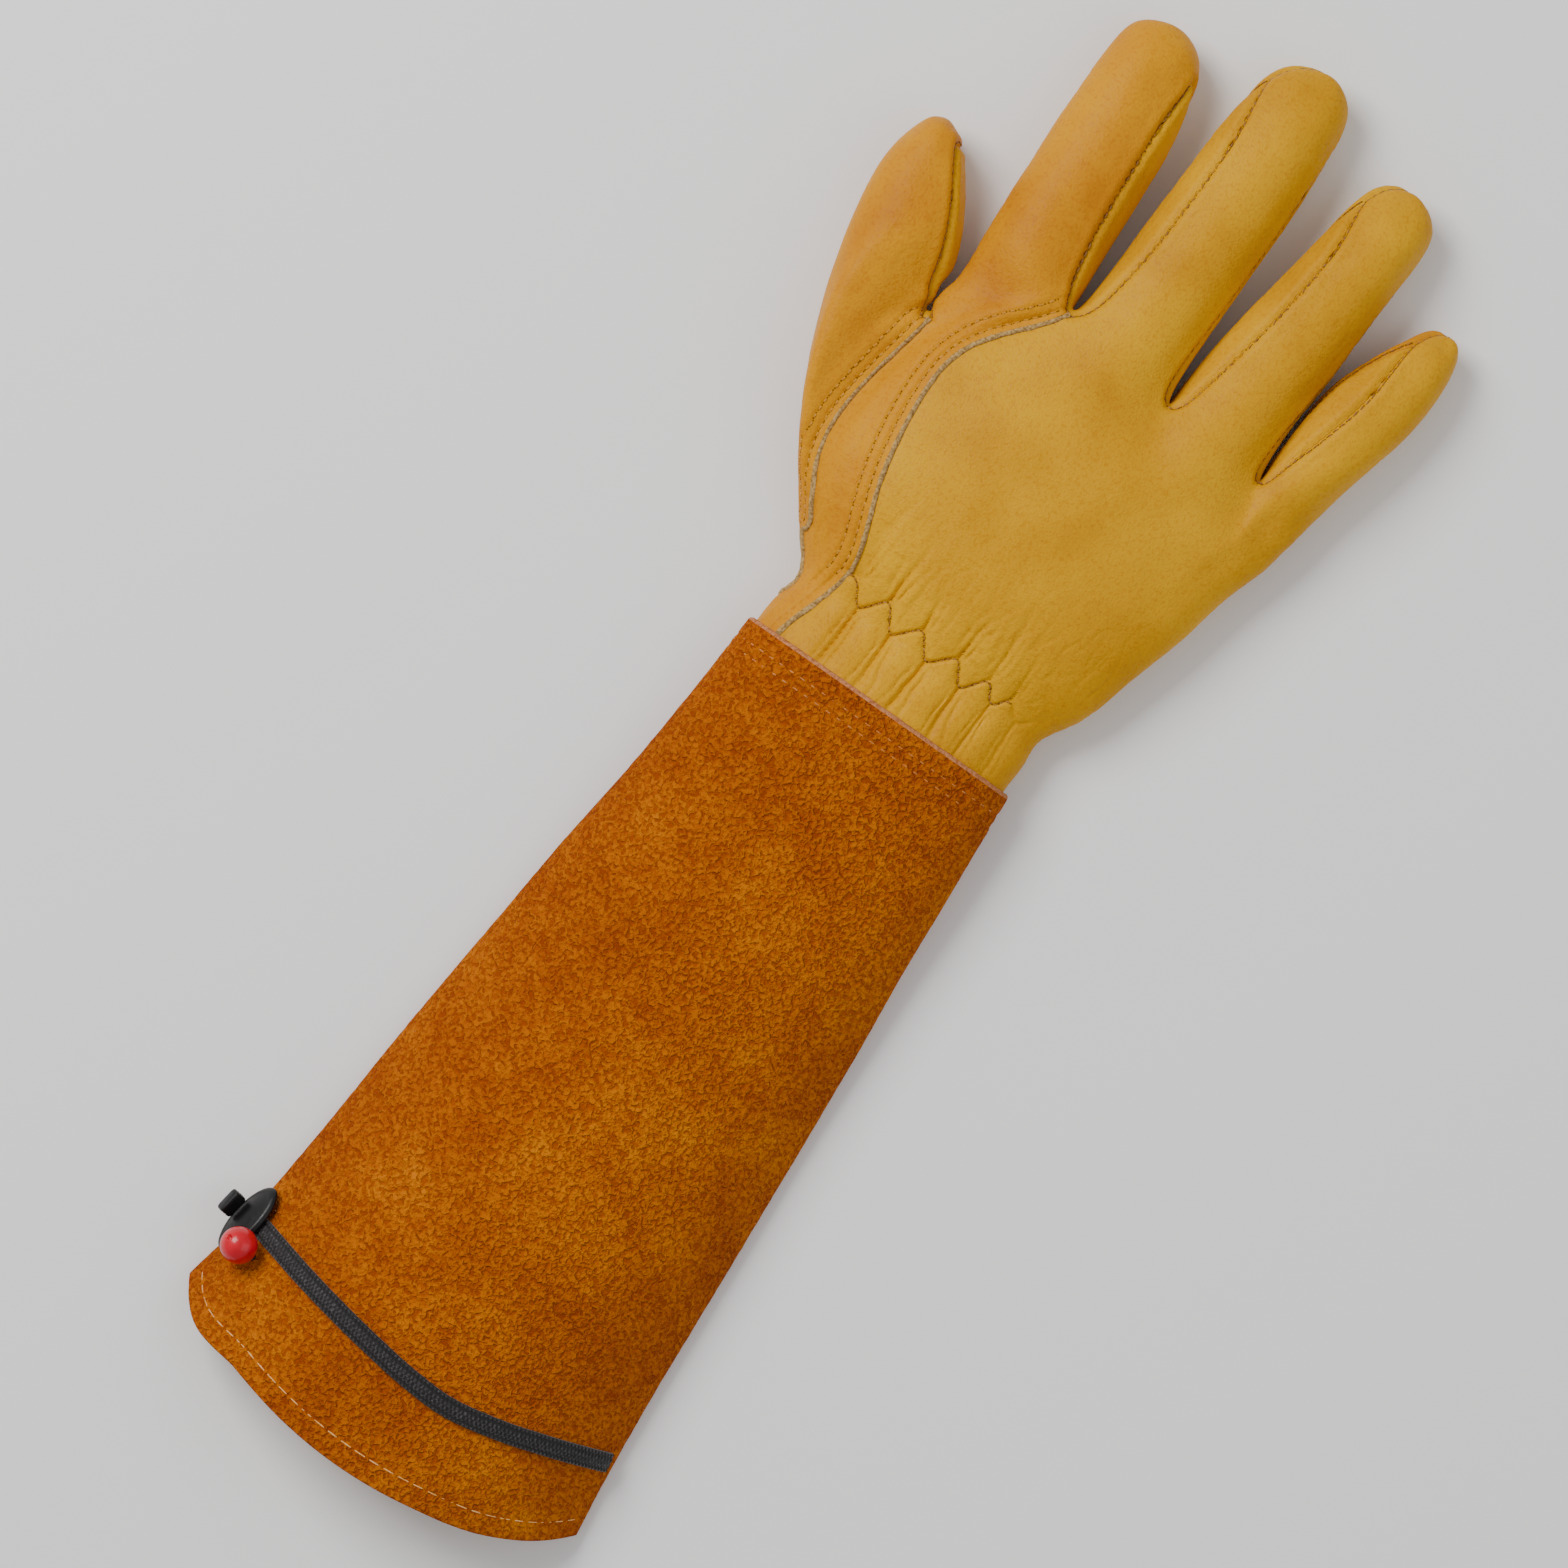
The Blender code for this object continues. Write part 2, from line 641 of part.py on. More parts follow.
def gathered(points, normals):
    """Push the leather in and out where the elastic gathers it across the back of the wrist."""
    x, y, z = points.T
    elastic = ELASTIC_ALONG * HAND_LENGTH
    near = np.exp(-(((y - elastic) / GATHER_REACH) ** 2))
    on_back = smoothstep(*GATHER_UP, z / PALM_HEIGHT)
    inside = smoothstep(*GATHER_ALONG, y / HAND_LENGTH)
    side = smoothstep(*GATHER_LEFT, x / PALM_WIDTH) * smoothstep(*GATHER_RIGHT, x / PALM_WIDTH)
    wave = np.cos(2 * math.pi * x / GATHER_PERIOD) - GATHER_SINK
    depth = GATHER_DEPTH * near * on_back * inside * side
    return points + normals * (depth * wave)[:, None]


def hand_surface(levels):
    """The leather's outer surface at a fineness, with its gathers."""
    targets, faces, panels, rounded = hand_cage()
    cage = fitted_cage(targets, faces, panels, rounded)
    points, quads, numbers = smoothed(cage, faces, panels, levels)
    points = gathered(points, vertex_normals(points, quads))
    return points, quads, numbers, rounded


def border_moves(points, normals, quads, gaps):
    """How far each border point moves in so that neighbouring panels keep their gap."""
    edges = {}
    for quad in quads:
        for k in range(4):
            a, b = quad[k], quad[(k + 1) % 4]
            edges[(a, b)] = True
    after = {}
    before = {}
    for a, b in edges:
        if (b, a) not in edges:
            after.setdefault(a, []).append(b)
            before.setdefault(b, []).append(a)
    moves = {}
    for v in after:
        sides = []
        for w in after[v]:
            sides.append(np.cross(normals[v], points[w] - points[v]))
        for w in before[v]:
            sides.append(np.cross(normals[v], points[v] - points[w]))
        sides = [s / max(np.linalg.norm(s), 1e-9) for s in sides]
        total = np.sum(sides, axis=0)
        length = max(np.linalg.norm(total), 1e-6)
        direction = total / length
        share = max(abs(float(direction @ sides[0])), SHARPEST_CORNER)
        moves[v] = direction * gaps[v] / 2 / share
    open_edges = [(a, b) for a, b in edges if (b, a) not in edges]
    return moves, open_edges


def leather_solid(points, normals, quads, thickness, gaps):
    """One panel as a closed wall, its thickness and its seam gap given at each point."""
    used = sorted({corner for quad in quads for corner in quad})
    numbers = {old: new for new, old in enumerate(used)}
    moves, open_edges = border_moves(points, normals, quads, gaps)
    outer = []
    for old in used:
        outer.append(points[old] + moves.get(old, 0.0))
    outer = np.array(outer)
    inner = outer - normals[used] * thickness[used][:, None]
    count = len(used)
    faces = [tuple(numbers[c] for c in quad) for quad in quads]
    faces += [tuple(numbers[c] + count for c in reversed(quad)) for quad in quads]
    for a, b in open_edges:
        faces.append((numbers[b], numbers[a], numbers[a] + count, numbers[b] + count))
    return np.vstack([outer, inner]), faces


def facing_out(points, faces):
    """Turn all faces round where a closed shape faces inward."""
    volume = 0.0
    for face in faces:
        a = points[face[0]]
        for k in range(1, len(face) - 1):
            volume += float(a @ np.cross(points[face[k]], points[face[k + 1]]))
    return faces if volume > 0 else [tuple(face)[::-1] for face in faces]


def add_body(name, mesh, look, collection):
    """Link one solid of the part, with its own material."""
    colour, roughness = look
    material = bpy.data.materials.new(name)
    material.use_nodes = True
    shader = material.node_tree.nodes["Principled BSDF"]
    shader.inputs["Base Color"].default_value = colour + (1.0,)
    shader.inputs["Roughness"].default_value = roughness
    mesh.materials.append(material)
    mesh.polygons.foreach_set("use_smooth", [True] * len(mesh.polygons))
    body = bpy.data.objects.new(name, mesh)
    collection.objects.link(body)
    return body


def add_mesh(name, points, faces, look, collection):
    """Make a solid or a sheet from its points and faces."""
    mesh = bpy.data.meshes.new(name)
    mesh.from_pydata([tuple(MM * c for c in p) for p in points], [], [tuple(f) for f in faces])
    mesh.validate()
    mesh.update()
    return add_body(name, mesh, look, collection)


def add_wall(name, shape, look, collection):
    """Make a closed wall, its faces turned outward."""
    points, faces = shape
    points = np.array(points)
    return add_mesh(name, points, facing_out(points, faces), look, collection)


def add_shape(name, shape, place, turn, look, collection):
    """Make a solid from one of Blender's primitives, then place and turn it."""
    mesh = bpy.data.meshes.new(name)
    shape.to_mesh(mesh)
    shape.free()
    body = add_body(name, mesh, look, collection)
    body.location = Vector(place) * MM
    body.rotation_euler = turn
    return body


def thicken(body, thickness, offset):
    """Turn a sheet into a solid, to both sides (offset 0) or along its normals (offset 1)."""
    solidify = body.modifiers.new("thickness", "SOLIDIFY")
    solidify.thickness = thickness * MM
    solidify.offset = offset


def grid_faces(rows, columns, closed):
    """Quads of a grid of points, numbered row by row."""
    faces = []
    for i in range(rows - 1):
        for j in range(columns if closed else columns - 1):
            k = (j + 1) % columns
            a, b = i * columns + j, i * columns + k
            faces.append((a, b, b + columns, a + columns))
    return faces


def cuff_ring(row_share, inset):
    """One closed row of the cuff's skin, from its wrist end to its mouth."""
    ring = []
    shares = np.cos(np.linspace(math.pi, 0, CUFF_COLUMNS + 1))
    stops = [(share, True) for share in shares]
    stops += [(share, False) for share in FLOOR_SHARES]
    stops += [(-share, False) for share in FLOOR_SHARES[-2::-1]]
    for share, upper in stops:
        end = smooth_table_value(MOUTH_EDGE, share, 1) * CUFF_LENGTH
        y = -row_share * end
        section = cuff_section(y, inset)
        x = section.place(share)
        z = section.top_at(x) if upper else section.floor_at(x)
        ring.append((x, y, z))
    return ring


def build_cuff():
    """The suede cuff: one wall with a flat underside and a hem turned inward."""
    hem_start = 1 - HEM_DEPTH / CUFF_LENGTH
    shares = list(np.linspace(0.0, hem_start, CUFF_SPANS)) + [1.0]
    outer = [cuff_ring(share, 0.0) for share in shares]
    deep = CUFF_LEATHER + HEM_FOLD
    inner = [cuff_ring(1.0, deep), cuff_ring(hem_start, deep)]
    inner += [cuff_ring(share, CUFF_LEATHER) for share in reversed(shares[:-1])]
    rings = outer + inner
    wide = len(rings[0])
    points = [point for ring in rings for point in ring]
    faces = grid_faces(len(rings), wide, True)
    last = (len(rings) - 1) * wide
    for j in range(wide):
        k = (j + 1) % wide
        faces.append((last + j, last + k, k, j))
    return points, faces


def cuff_top_point(across, along, lift):
    """A point over the cuff's top skin, lifted along the skin's normal, with that normal."""
    x = across * CUFF_WIDTH
    y = -along * CUFF_LENGTH

    def height(px, py):
        return cuff_section(py, 0.0).top_at(px)

    here = height(x, y)
    inward = SLOPE_STEP if x < 0 else -SLOPE_STEP
    slope_x = (height(x + inward, y) - here) / inward
    slope_y = (height(x, y + SLOPE_STEP) - here) / SLOPE_STEP
    normal = np.array((-slope_x, -slope_y, 1.0))
    normal /= np.linalg.norm(normal)
    return np.array((x, y, here)) + normal * lift, normal


def build_strap():
    """Woven webbing that follows the cuff's top from side to side."""
    start, end = STRAP_LINE[0][0], STRAP_LINE[-1][0]
    rings = []
    for across in np.linspace(start, end, STRAP_STEPS):
        along = smooth_table_value(STRAP_LINE, across, 1)
        ring = []
        for side, lift in ((-1, 0), (1, 0), (1, 1), (-1, 1)):
            shift = side * STRAP_WIDTH / 2 / CUFF_LENGTH
            height = STRAP_GAP + STRAP_THICKNESS * lift
            point, _ = cuff_top_point(across, along + shift, height)
            ring.append(point)
        rings.append(ring)
    points = [point for ring in rings for point in ring]
    faces = grid_faces(len(rings), 4, True)
    last = 4 * (len(rings) - 1)
    faces.append((3, 2, 1, 0))
    faces.append((last, last + 1, last + 2, last + 3))
    return points, faces


def plate_frame():
    """The slider plate's centre, its turn and its directions: down the slope and out."""
    across, along = PLATE_CENTRE
    lift = STRAP_GAP + STRAP_THICKNESS + PIECE_GAP
    centre, out = cuff_top_point(across, along, lift + PLATE_THICKNESS / 2)
    turned = math.radians(PLATE_TURN)
    forward = np.array((-math.sin(turned), -math.cos(turned), 0.0))
    forward -= out * (forward @ out)
    forward /= np.linalg.norm(forward)
    down = np.cross(forward, out)
    down /= np.linalg.norm(down)
    turn = Matrix(np.array((forward, -down, out)).T.tolist()).to_euler()
    return centre, turn, down, out


def build_plate(look, collection):
    """The slider's oval plate, dished like a shallow spoon over the cuff's side."""
    centre, turn, _, _ = plate_frame()
    points = []
    for i in range(PLATE_RING_COUNT):
        radius = (i + 1) / PLATE_RING_COUNT
        for j in range(PLATE_SIDE_COUNT):
            angle = 2 * math.pi * j / PLATE_SIDE_COUNT
            forward = math.cos(angle) * radius * PLATE_LENGTH / 2
            up = math.sin(angle) * radius * PLATE_WIDTH / 2
            points.append((forward, up, PLATE_BULGE * (1 - radius**2)))
    faces = [face[::-1] for face in grid_faces(PLATE_RING_COUNT, PLATE_SIDE_COUNT, True)]
    faces.append(tuple(range(PLATE_SIDE_COUNT)))
    body = add_mesh("slider_plate", points, faces, look, collection)
    body.location = Vector(centre) * MM
    body.rotation_euler = turn
    thicken(body, PLATE_THICKNESS, 0)
    return body


def build_block(look, collection):
    """The slider's block with its rounded edges, proud of the plate's outer face."""
    centre, turn, down, out = plate_frame()
    shift = PLATE_WIDTH / 2 - BLOCK_WIDTH / 4
    near = (shift - BLOCK_WIDTH / 2) / (PLATE_WIDTH / 2)
    bulge = PLATE_BULGE * (1 - near**2)
    height = PLATE_THICKNESS / 2 + bulge + PIECE_GAP + BLOCK_HEIGHT / 2
    place = centre + out * height + down * shift
    shape = bmesh.new()
    bmesh.ops.create_cube(shape, size=1.0)
    sizes = Vector((BLOCK_LENGTH, BLOCK_WIDTH, BLOCK_HEIGHT)) * MM
    bmesh.ops.scale(shape, vec=sizes, verts=shape.verts)
    body = add_shape("slider_block", shape, place, turn, look, collection)
    rounding = body.modifiers.new("rounding", "BEVEL")
    rounding.width = BLOCK_ROUNDING * MM
    rounding.segments = 2
    return body


def bead_centre():
    """The bead's centre, over its cord, and the direction out of the cuff."""
    lift = BEAD_DIAMETER / 2 + CORD_LENGTH + 2 * PIECE_GAP
    return cuff_top_point(*BEAD_CENTRE, lift)


def build_bead(look, collection):
    """A round bead."""
    centre, out = bead_centre()
    shape = bmesh.new()
    around, rows = BEAD_STEPS
    radius = BEAD_DIAMETER / 2 * MM
    bmesh.ops.create_uvsphere(shape, u_segments=around, v_segments=rows, radius=radius)
    turn = Vector(out).to_track_quat("Z", "Y").to_euler()
    return add_shape("bead", shape, centre, turn, look, collection)


def build_cord(look, collection):
    """The short cord that holds the bead over the cuff."""
    centre, out = bead_centre()
    place = centre - out * (BEAD_DIAMETER / 2 + PIECE_GAP + CORD_LENGTH / 2)
    shape = bmesh.new()
    bmesh.ops.create_cone(
        shape,
        cap_ends=True,
        segments=CORD_SIDE_COUNT,
        radius1=CORD_DIAMETER / 2 * MM,
        radius2=CORD_DIAMETER / 2 * MM,
        depth=CORD_LENGTH * MM,
    )
    turn = Vector(out).to_track_quat("Z", "Y").to_euler()
    return add_shape("bead_cord", shape, place, turn, look, collection)


def build_patch(surface, look, collection):
    """The suede patch under the palm, a sheet that follows the palm panel and grows down from it."""
    skin, quads, _, _ = surface
    sheet = BVHTree.FromPolygons([Vector(p) for p in skin], quads)
    columns, rows = PATCH_STEPS
    start, end = PATCH_SHAPE[0][0], PATCH_SHAPE[-1][0]
    points = []
    for across in np.linspace(start, end, columns + 1):
        low = smooth_table_value(PATCH_SHAPE, across, 1)
        high = smooth_table_value(PATCH_SHAPE, across, 2)
        for along in np.linspace(low, high, rows + 1):
            below = Vector((across * PALM_WIDTH, along * HAND_LENGTH, -PALM_HEIGHT))
            place, normal, _, _ = sheet.ray_cast(below, Vector((0, 0, 1)))
            if normal.z > 0:
                normal = -normal
            points.append(np.array(place + normal * PATCH_GAP))
    faces = grid_faces(columns + 1, rows + 1, False)
    body = add_mesh("palm_patch", points, faces, look, collection)
    thicken(body, PATCH_LEATHER, 1)
    return body


def build_panels(surface, look, collection):
    """The hand's leather panels, parted by their seams and thinner at the crotches."""
    points, quads, numbers, rounded = surface
    normals = vertex_normals(points, quads)
    thickness = np.full(len(points), LEATHER)
    thickness[rounded] = LEATHER * CROTCH_THINNING
    gaps = np.full(len(points), SEAM_GAP)
    gaps[rounded] = SEAM_GAP * CROTCH_GAP
    bodies = []
    for panel, name in enumerate(PANEL_NAMES):
        own = [quad for quad, number in zip(quads, numbers) if number == panel]
        wall = leather_solid(points, normals, own, thickness, gaps)
        bodies.append(add_wall(name, wall, look, collection))
    return bodies


def centre_on_floor(bodies):
    """Move all pieces so that the origin is the middle of their box's underside."""
    bpy.context.view_layer.update()
    corners = []
    for body in bodies:
        for vertex in body.data.vertices:
            corners.append(body.matrix_world @ vertex.co)
    corners = np.array(corners)
    low, high = corners.min(axis=0), corners.max(axis=0)
    for body in bodies:
        body.location -= Vector(((low[0] + high[0]) / 2, (low[1] + high[1]) / 2, low[2]))


def main():
    clear_scene()
    collection = bpy.data.collections.new(COLLECTION_NAME)
    bpy.context.scene.collection.children.link(collection)
    surface = hand_surface(1)
    bodies = build_panels(surface, GRAIN_LEATHER, collection)
    bodies.append(build_patch(surface, SUEDE, collection))
    bodies.append(add_wall("cuff", build_cuff(), SUEDE, collection))
    bodies.append(add_wall("strap", build_strap(), WEBBING, collection))
    bodies.append(build_plate(DARK_PLASTIC, collection))
    bodies.append(build_block(DARK_PLASTIC, collection))
    bodies.append(build_bead(RED_BEAD, collection))
    bodies.append(build_cord(WEBBING, collection))
    centre_on_floor(bodies)


main()
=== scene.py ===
"""Looks of the rose pruning gauntlet: leather hand, suede cuff, strap, slider and bead.

Lengths in the tables and the shape functions are millimetres or shares of named sizes, in the
pattern's own frame: its origin is the wrist seam's centre, on the floor. The frame's boxes say where
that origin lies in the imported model.
"""

import math

import bpy
import numpy as np
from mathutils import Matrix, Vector, noise
from mathutils.bvhtree import BVHTree
from mathutils.kdtree import KDTree


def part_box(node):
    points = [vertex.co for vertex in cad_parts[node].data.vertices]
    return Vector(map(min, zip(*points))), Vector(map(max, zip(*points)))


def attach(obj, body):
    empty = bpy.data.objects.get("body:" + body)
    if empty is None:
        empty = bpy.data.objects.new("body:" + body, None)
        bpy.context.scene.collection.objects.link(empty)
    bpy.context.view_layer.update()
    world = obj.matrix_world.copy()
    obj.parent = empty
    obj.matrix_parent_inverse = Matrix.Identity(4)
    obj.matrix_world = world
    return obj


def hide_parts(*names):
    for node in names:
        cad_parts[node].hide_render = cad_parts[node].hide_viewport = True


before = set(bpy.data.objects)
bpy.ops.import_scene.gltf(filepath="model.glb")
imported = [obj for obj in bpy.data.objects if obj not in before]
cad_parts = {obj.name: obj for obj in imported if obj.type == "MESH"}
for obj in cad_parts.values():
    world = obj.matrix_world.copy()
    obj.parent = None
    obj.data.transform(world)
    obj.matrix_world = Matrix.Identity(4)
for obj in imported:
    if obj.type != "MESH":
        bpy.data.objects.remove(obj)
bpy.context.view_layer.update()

MM = 0.001
SMALLEST = 1e-9
SEED_SHIFT = (17.3, 5.1, 9.7)

# Named sizes of the hand
HAND_LENGTH = 209.0
PALM_WIDTH = 115.0
PALM_HEIGHT = 30.0
LEATHER = 1.2
SEAM_GAP = 0.10
NESTED_LENGTH = 11.4

# Named sizes of the cuff
CUFF_LENGTH = 251.0
CUFF_WIDTH = 128.0
CUFF_LEATHER = 1.3
HEM_FOLD = 0.9
HEM_DEPTH = 8.0
WRIST_HEIGHT = 27.0
MOUTH_HEIGHT = 34.0
WRIST_SIDE = 10.0
MOUTH_SIDE = 3.0
NEST_GAP = 0.5

# Sections of the cuff and palm: fullness of their arches, and how far an inner skin moves in
ARCH_POWER = 2.1
WRIST_ARCH = 0.52
MOUTH_ARCH = 0.78
PALM_ARCH = 0.55
CROTCH_ARCH = 0.50
CORNER_REACH = 1.4
CORNER_MOST = 0.8
ARCH_FULL_AT = 0.45
SIDE_LOW_AT = 0.50
INSET_AT_WRIST = 1.15
INSET_GROWTH = 0.9
SIDE_SHARE = 0.999
LEAST_RISE = 0.8

# Named sizes of the small pieces
PATCH_GAP = 0.35
PATCH_LEATHER = 1.0
PIECE_GAP = 0.3
STRAP_WIDTH = 5.7
STRAP_THICKNESS = 1.2
BEAD_DIAMETER = 10.3
PLATE_LENGTH = 22.0
PLATE_WIDTH = 12.0
PLATE_THICKNESS = 1.4
PLATE_BULGE = 1.4
BLOCK_LENGTH = 7.0
BLOCK_WIDTH = 3.2
BLOCK_HEIGHT = 4.0
CORD_DIAMETER = 1.6
CORD_LENGTH = 1.8

# The elastic's gathers across the back of the wrist
GATHER_PERIOD = 11.3
GATHER_START = -24.9
GATHER_END = 28.5
CREASE_DEPTH = 1.15
PUFF_HEIGHT = 0.85
GROOVE_DEPTH = 0.75
# Creases that branch off beside each peak's and each valley's own, by a share of the spread between
# them. Columns: side, weight, distance from the stitch where it starts (mm)
FANS = (
    (1.0, 0.75, 2.0),
    (-1.0, 0.60, 4.0),
    (2.1, 0.40, 6.0),
)
FOLDS = (
    (1.0, 0.55, 2.5),
    (-1.0, 0.45, 4.0),
)
# Width, spread and widening by distance of the creases above and below the stitch (mm)
FAN_SHAPE = (0.42, 1.5, 0.10)
FOLD_SHAPE = (0.45, 1.4, 0.08)
BRANCH_WIDTH = 0.38
CREASE_WIDENING = 0.02
BRANCH_RISE = 3.0
GATHER_REACH = 13.0
REACH_SWING = 5.0
GROOVE_WIDTH = 0.65
# How creases lean and waver: the distances from the stitch over which they do so by 1 mm
LEAN_LENGTH = 11.0
FOLD_LEAN = 0.5
FAN_WAVER = 12.0
FOLD_WAVER = 14.0
# Rate and phase by which the leans and reaches differ from one crease to the next
FAN_TURN = (2.3, 0.6)
FOLD_TURN = (3.1, 0.0)
REACH_TURN = (1.7, 0.9)
# Where the gathers begin: off the stitch, on the back (shares of PALM_HEIGHT), across, off the cuff
ONSET = (-0.3, 0.8)
BACK_SPAN = (0.30, 0.55)
SIDE_SPAN = (GATHER_START - 5.5, GATHER_START - 1.0)
CUFF_SPAN = (-6.0, 3.0)
# Where they fade, down from the stitch and toward the little finger. Columns: share, from, to (mm)
FOLD_FADE = (0.35, 9.0, 20.0)
SIDE_FADES = (
    (0.35, 8.0, 24.0),
    (0.85, GATHER_END - 2.0, GATHER_END + 12.0),
)

# Fine creases of the hand. Columns: weight, size across (mm), seed, width as a share of the noise
FINE_CREASES = (
    (1.0, 4.2, 3, 0.09),
    (0.6, 2.4, 8, 0.10),
)
UPRIGHT_CREASES = ((1.0, 5.0, 5, 0.10),)
FINE_STRETCH = (0.5, 1.5, 1.0)
UPRIGHT_STRETCH = (1.5, 0.5, 1.0)
FINE_DEPTH = 0.13
UPRIGHT_DEPTH = 0.22
CREASED_PATCHES = (28.0, 4)
CREASED_SPAN = (-0.15, 0.35)
UPRIGHT_MIDDLE = 36.0
UPRIGHT_REACH = 20.0
RIM_SPAN = (-2.0, 10.0)

# Slow waves of the surfaces. Columns: height, size across (mm), seed
ZIGZAG_WAVER = (
    (0.50, 5.0, 6),
    (1.10, 14.0, 7),
)
HAND_SLACK = (
    (0.42, 24.0, 1),
    (0.15, 9.0, 2),
)
CUFF_WAVES = (
    (0.40, 60.0, 11),
    (0.18, 22.0, 12),
)
CUFF_NAP = ((0.10, 2.2, 13),)

# Lapped leather edges: how high the upper leather stands and where it runs out to nothing (mm)
LAP_HEIGHT = 0.62
# Columns: a row's distance from the edge, how deep it presses the leather (mm)
LAP_ROWS = (
    (1.9, 0.26),
    (5.0, 0.20),
)
LAP_FLAT = 5.5
LAP_END = 9.5
CUT_EDGE = 1.15
CUT_ROUGH = 0.10
ROUGH_SIZE = 1.3
CUT_SWING = 0.25
SWING_SIZE = 3.0
# The cut edge's section. Columns: across (mm), across (share of its width), height (mm), and 1 where
# the height counts from the upper leather or 0 where from the lower
CUT_SECTION = (
    (-0.30, 0.00, -0.16, 1),
    (0.10, 0.00, 0.06, 1),
    (0.00, 0.62, -0.10, 1),
    (0.00, 1.00, 0.02, 0),
    (0.00, 0.90, -0.90, 0),
    (-0.30, 0.00, -0.90, 0),
)
SOLE_ROWS_TOP = 4.0
# Relief beside the seams. Each is a height or depth and a width (mm)
SEAM_PUFF = (0.28, 1.3)
PUFF_AT = 2.4
SEAM_VALLEY = (0.95, 0.9)
TUCK = (0.35, 1.6)
HOLE_DIP = (0.34, 0.75)
ROW_WIDTH = 0.6

# Where the fourchettes narrow to a point below the fingertips
TAPER_LENGTH = 17.0
TAPER_POWER = 0.7
FORK_ANGLE = 30.0

# Columns: along at the left, along at the right (shares of HAND_LENGTH), left side, right side,
# lapped seam on top, thumb seam on the sole (shares of PALM_WIDTH), top, side (shares of PALM_HEIGHT)
PALM_ROWS = (
    (0.045, 0.045, -0.344, 0.358, -0.275, -0.278, 0.783, 0.333),
    (0.085, 0.085, -0.332, 0.358, -0.255, -0.202, 0.750, 0.333),
    (0.136, 0.133, -0.400, 0.412, -0.240, -0.186, 0.867, 0.367),
    (0.207, 0.205, -0.487, 0.449, -0.289, -0.224, 0.983, 0.400),
    (0.291, 0.285, -0.511, 0.489, -0.328, -0.301, 1.017, 0.400),
    (0.388, 0.368, -0.482, 0.522, -0.344, -0.341, 1.000, 0.400),
    (0.453, 0.422, -0.447, 0.555, -0.315, -0.301, 0.950, 0.400),
)
WRIST_LAP = -0.301
WRIST_THUMB = -0.300
# Columns: across (share of PALM_WIDTH), along (share of HAND_LENGTH), thumb side to little side
CROTCHES = (
    (-0.428, 0.518),
    (-0.165, 0.554),
    (0.146, 0.518),
    (0.431, 0.502),
    (0.579, 0.482),
)
CROTCH_TOP = 0.90
CROTCH_SIDE = 0.42
CORNER_INSET = 0.031
START_SHARE = 0.28
SOLE_FLOOR = 2.0
CROTCH_DIP = 0.86
CROTCH_LIFT = 14.0

# Lines of a palm row: 13 over the top from the thumb side, then the little side, 13 back under the
# sole, and the thumb side
LINE_COUNT = 13
LITTLE_SIDE = LINE_COUNT
SOLE_END = 2 * LINE_COUNT
THUMB_SIDE = SOLE_END + 1
LAP_LINE = 3
THUMB_LINE = 2
FINGER_LINES = (3, 6, 9)
WRIST_ROWS = 2
SPREAD_FROM = 0.05
SPREAD_TO = 0.50

# Columns: along (share of HAND_LENGTH), left, right (shares of PALM_WIDTH), height (share of
# PALM_HEIGHT), roll about the finger's length in degrees. The last row is the tip.
FINGERS = {
    "index": (
        (0.593, -0.435, -0.168, 0.817, -10),
        (0.699, -0.445, -0.181, 0.800, -20),
        (0.805, -0.453, -0.195, 0.767, -20),
        (0.899, -0.442, -0.233, 0.633, -20),
        (0.939, -0.334, -0.334, 0.400, -20),
    ),
    "middle": (
        (0.598, -0.144, 0.132, 0.867, 10),
        (0.712, -0.136, 0.132, 0.833, 20),
        (0.829, -0.127, 0.133, 0.800, 20),
        (0.948, -0.106, 0.118, 0.650, 20),
        (1.000, 0.012, 0.012, 0.400, 20),
    ),
    "ring": (
        (0.570, 0.155, 0.416, 0.833, 14),
        (0.680, 0.175, 0.426, 0.800, 27),
        (0.790, 0.207, 0.433, 0.767, 27),
        (0.891, 0.238, 0.438, 0.617, 27),
        (0.937, 0.332, 0.332, 0.400, 27),
    ),
    "little": (
        (0.565, 0.427, 0.606, 0.733, 22),
        (0.641, 0.431, 0.640, 0.700, 44),
        (0.719, 0.468, 0.661, 0.650, 44),
        (0.779, 0.518, 0.656, 0.533, 44),
        (0.813, 0.595, 0.595, 0.360, 44),
    ),
}
FINGER_ANGLES = (150, 110, 70, 30, 0, -30, -70, -110, -150, 180)
FINGER_FLOOR = 0.7
TIP_SPREAD = 0.32

# Columns: outer across, outer along, inner across, inner along, bow, middle height, half height.
# Across and bow are shares of PALM_WIDTH, along of HAND_LENGTH, heights of PALM_HEIGHT. The last
# row is the tip.
THUMB_ROWS = (
    (-0.487, 0.203, -0.447, 0.462, 0.094, 0.387, 0.320),
    (-0.569, 0.274, -0.449, 0.474, 0.099, 0.393, 0.360),
    (-0.649, 0.375, -0.452, 0.495, 0.094, 0.393, 0.373),
    (-0.708, 0.478, -0.452, 0.528, 0.066, 0.387, 0.373),
    (-0.734, 0.579, -0.511, 0.594, 0.033, 0.373, 0.347),
    (-0.713, 0.647, -0.588, 0.651, 0.016, 0.347, 0.260),
    (-0.687, 0.669, -0.631, 0.669, 0.009, 0.333, 0.000),
)
THUMB_ANGLES = (155, 130, 105, 80, 53, 0, -50, -75, -100, -125, -155, 180)
THUMB_FIRST_ROW = 4
THUMB_LAST_ROW = 8
FRONTS_ROW = 9
FRONTS_SHARE = 0.55

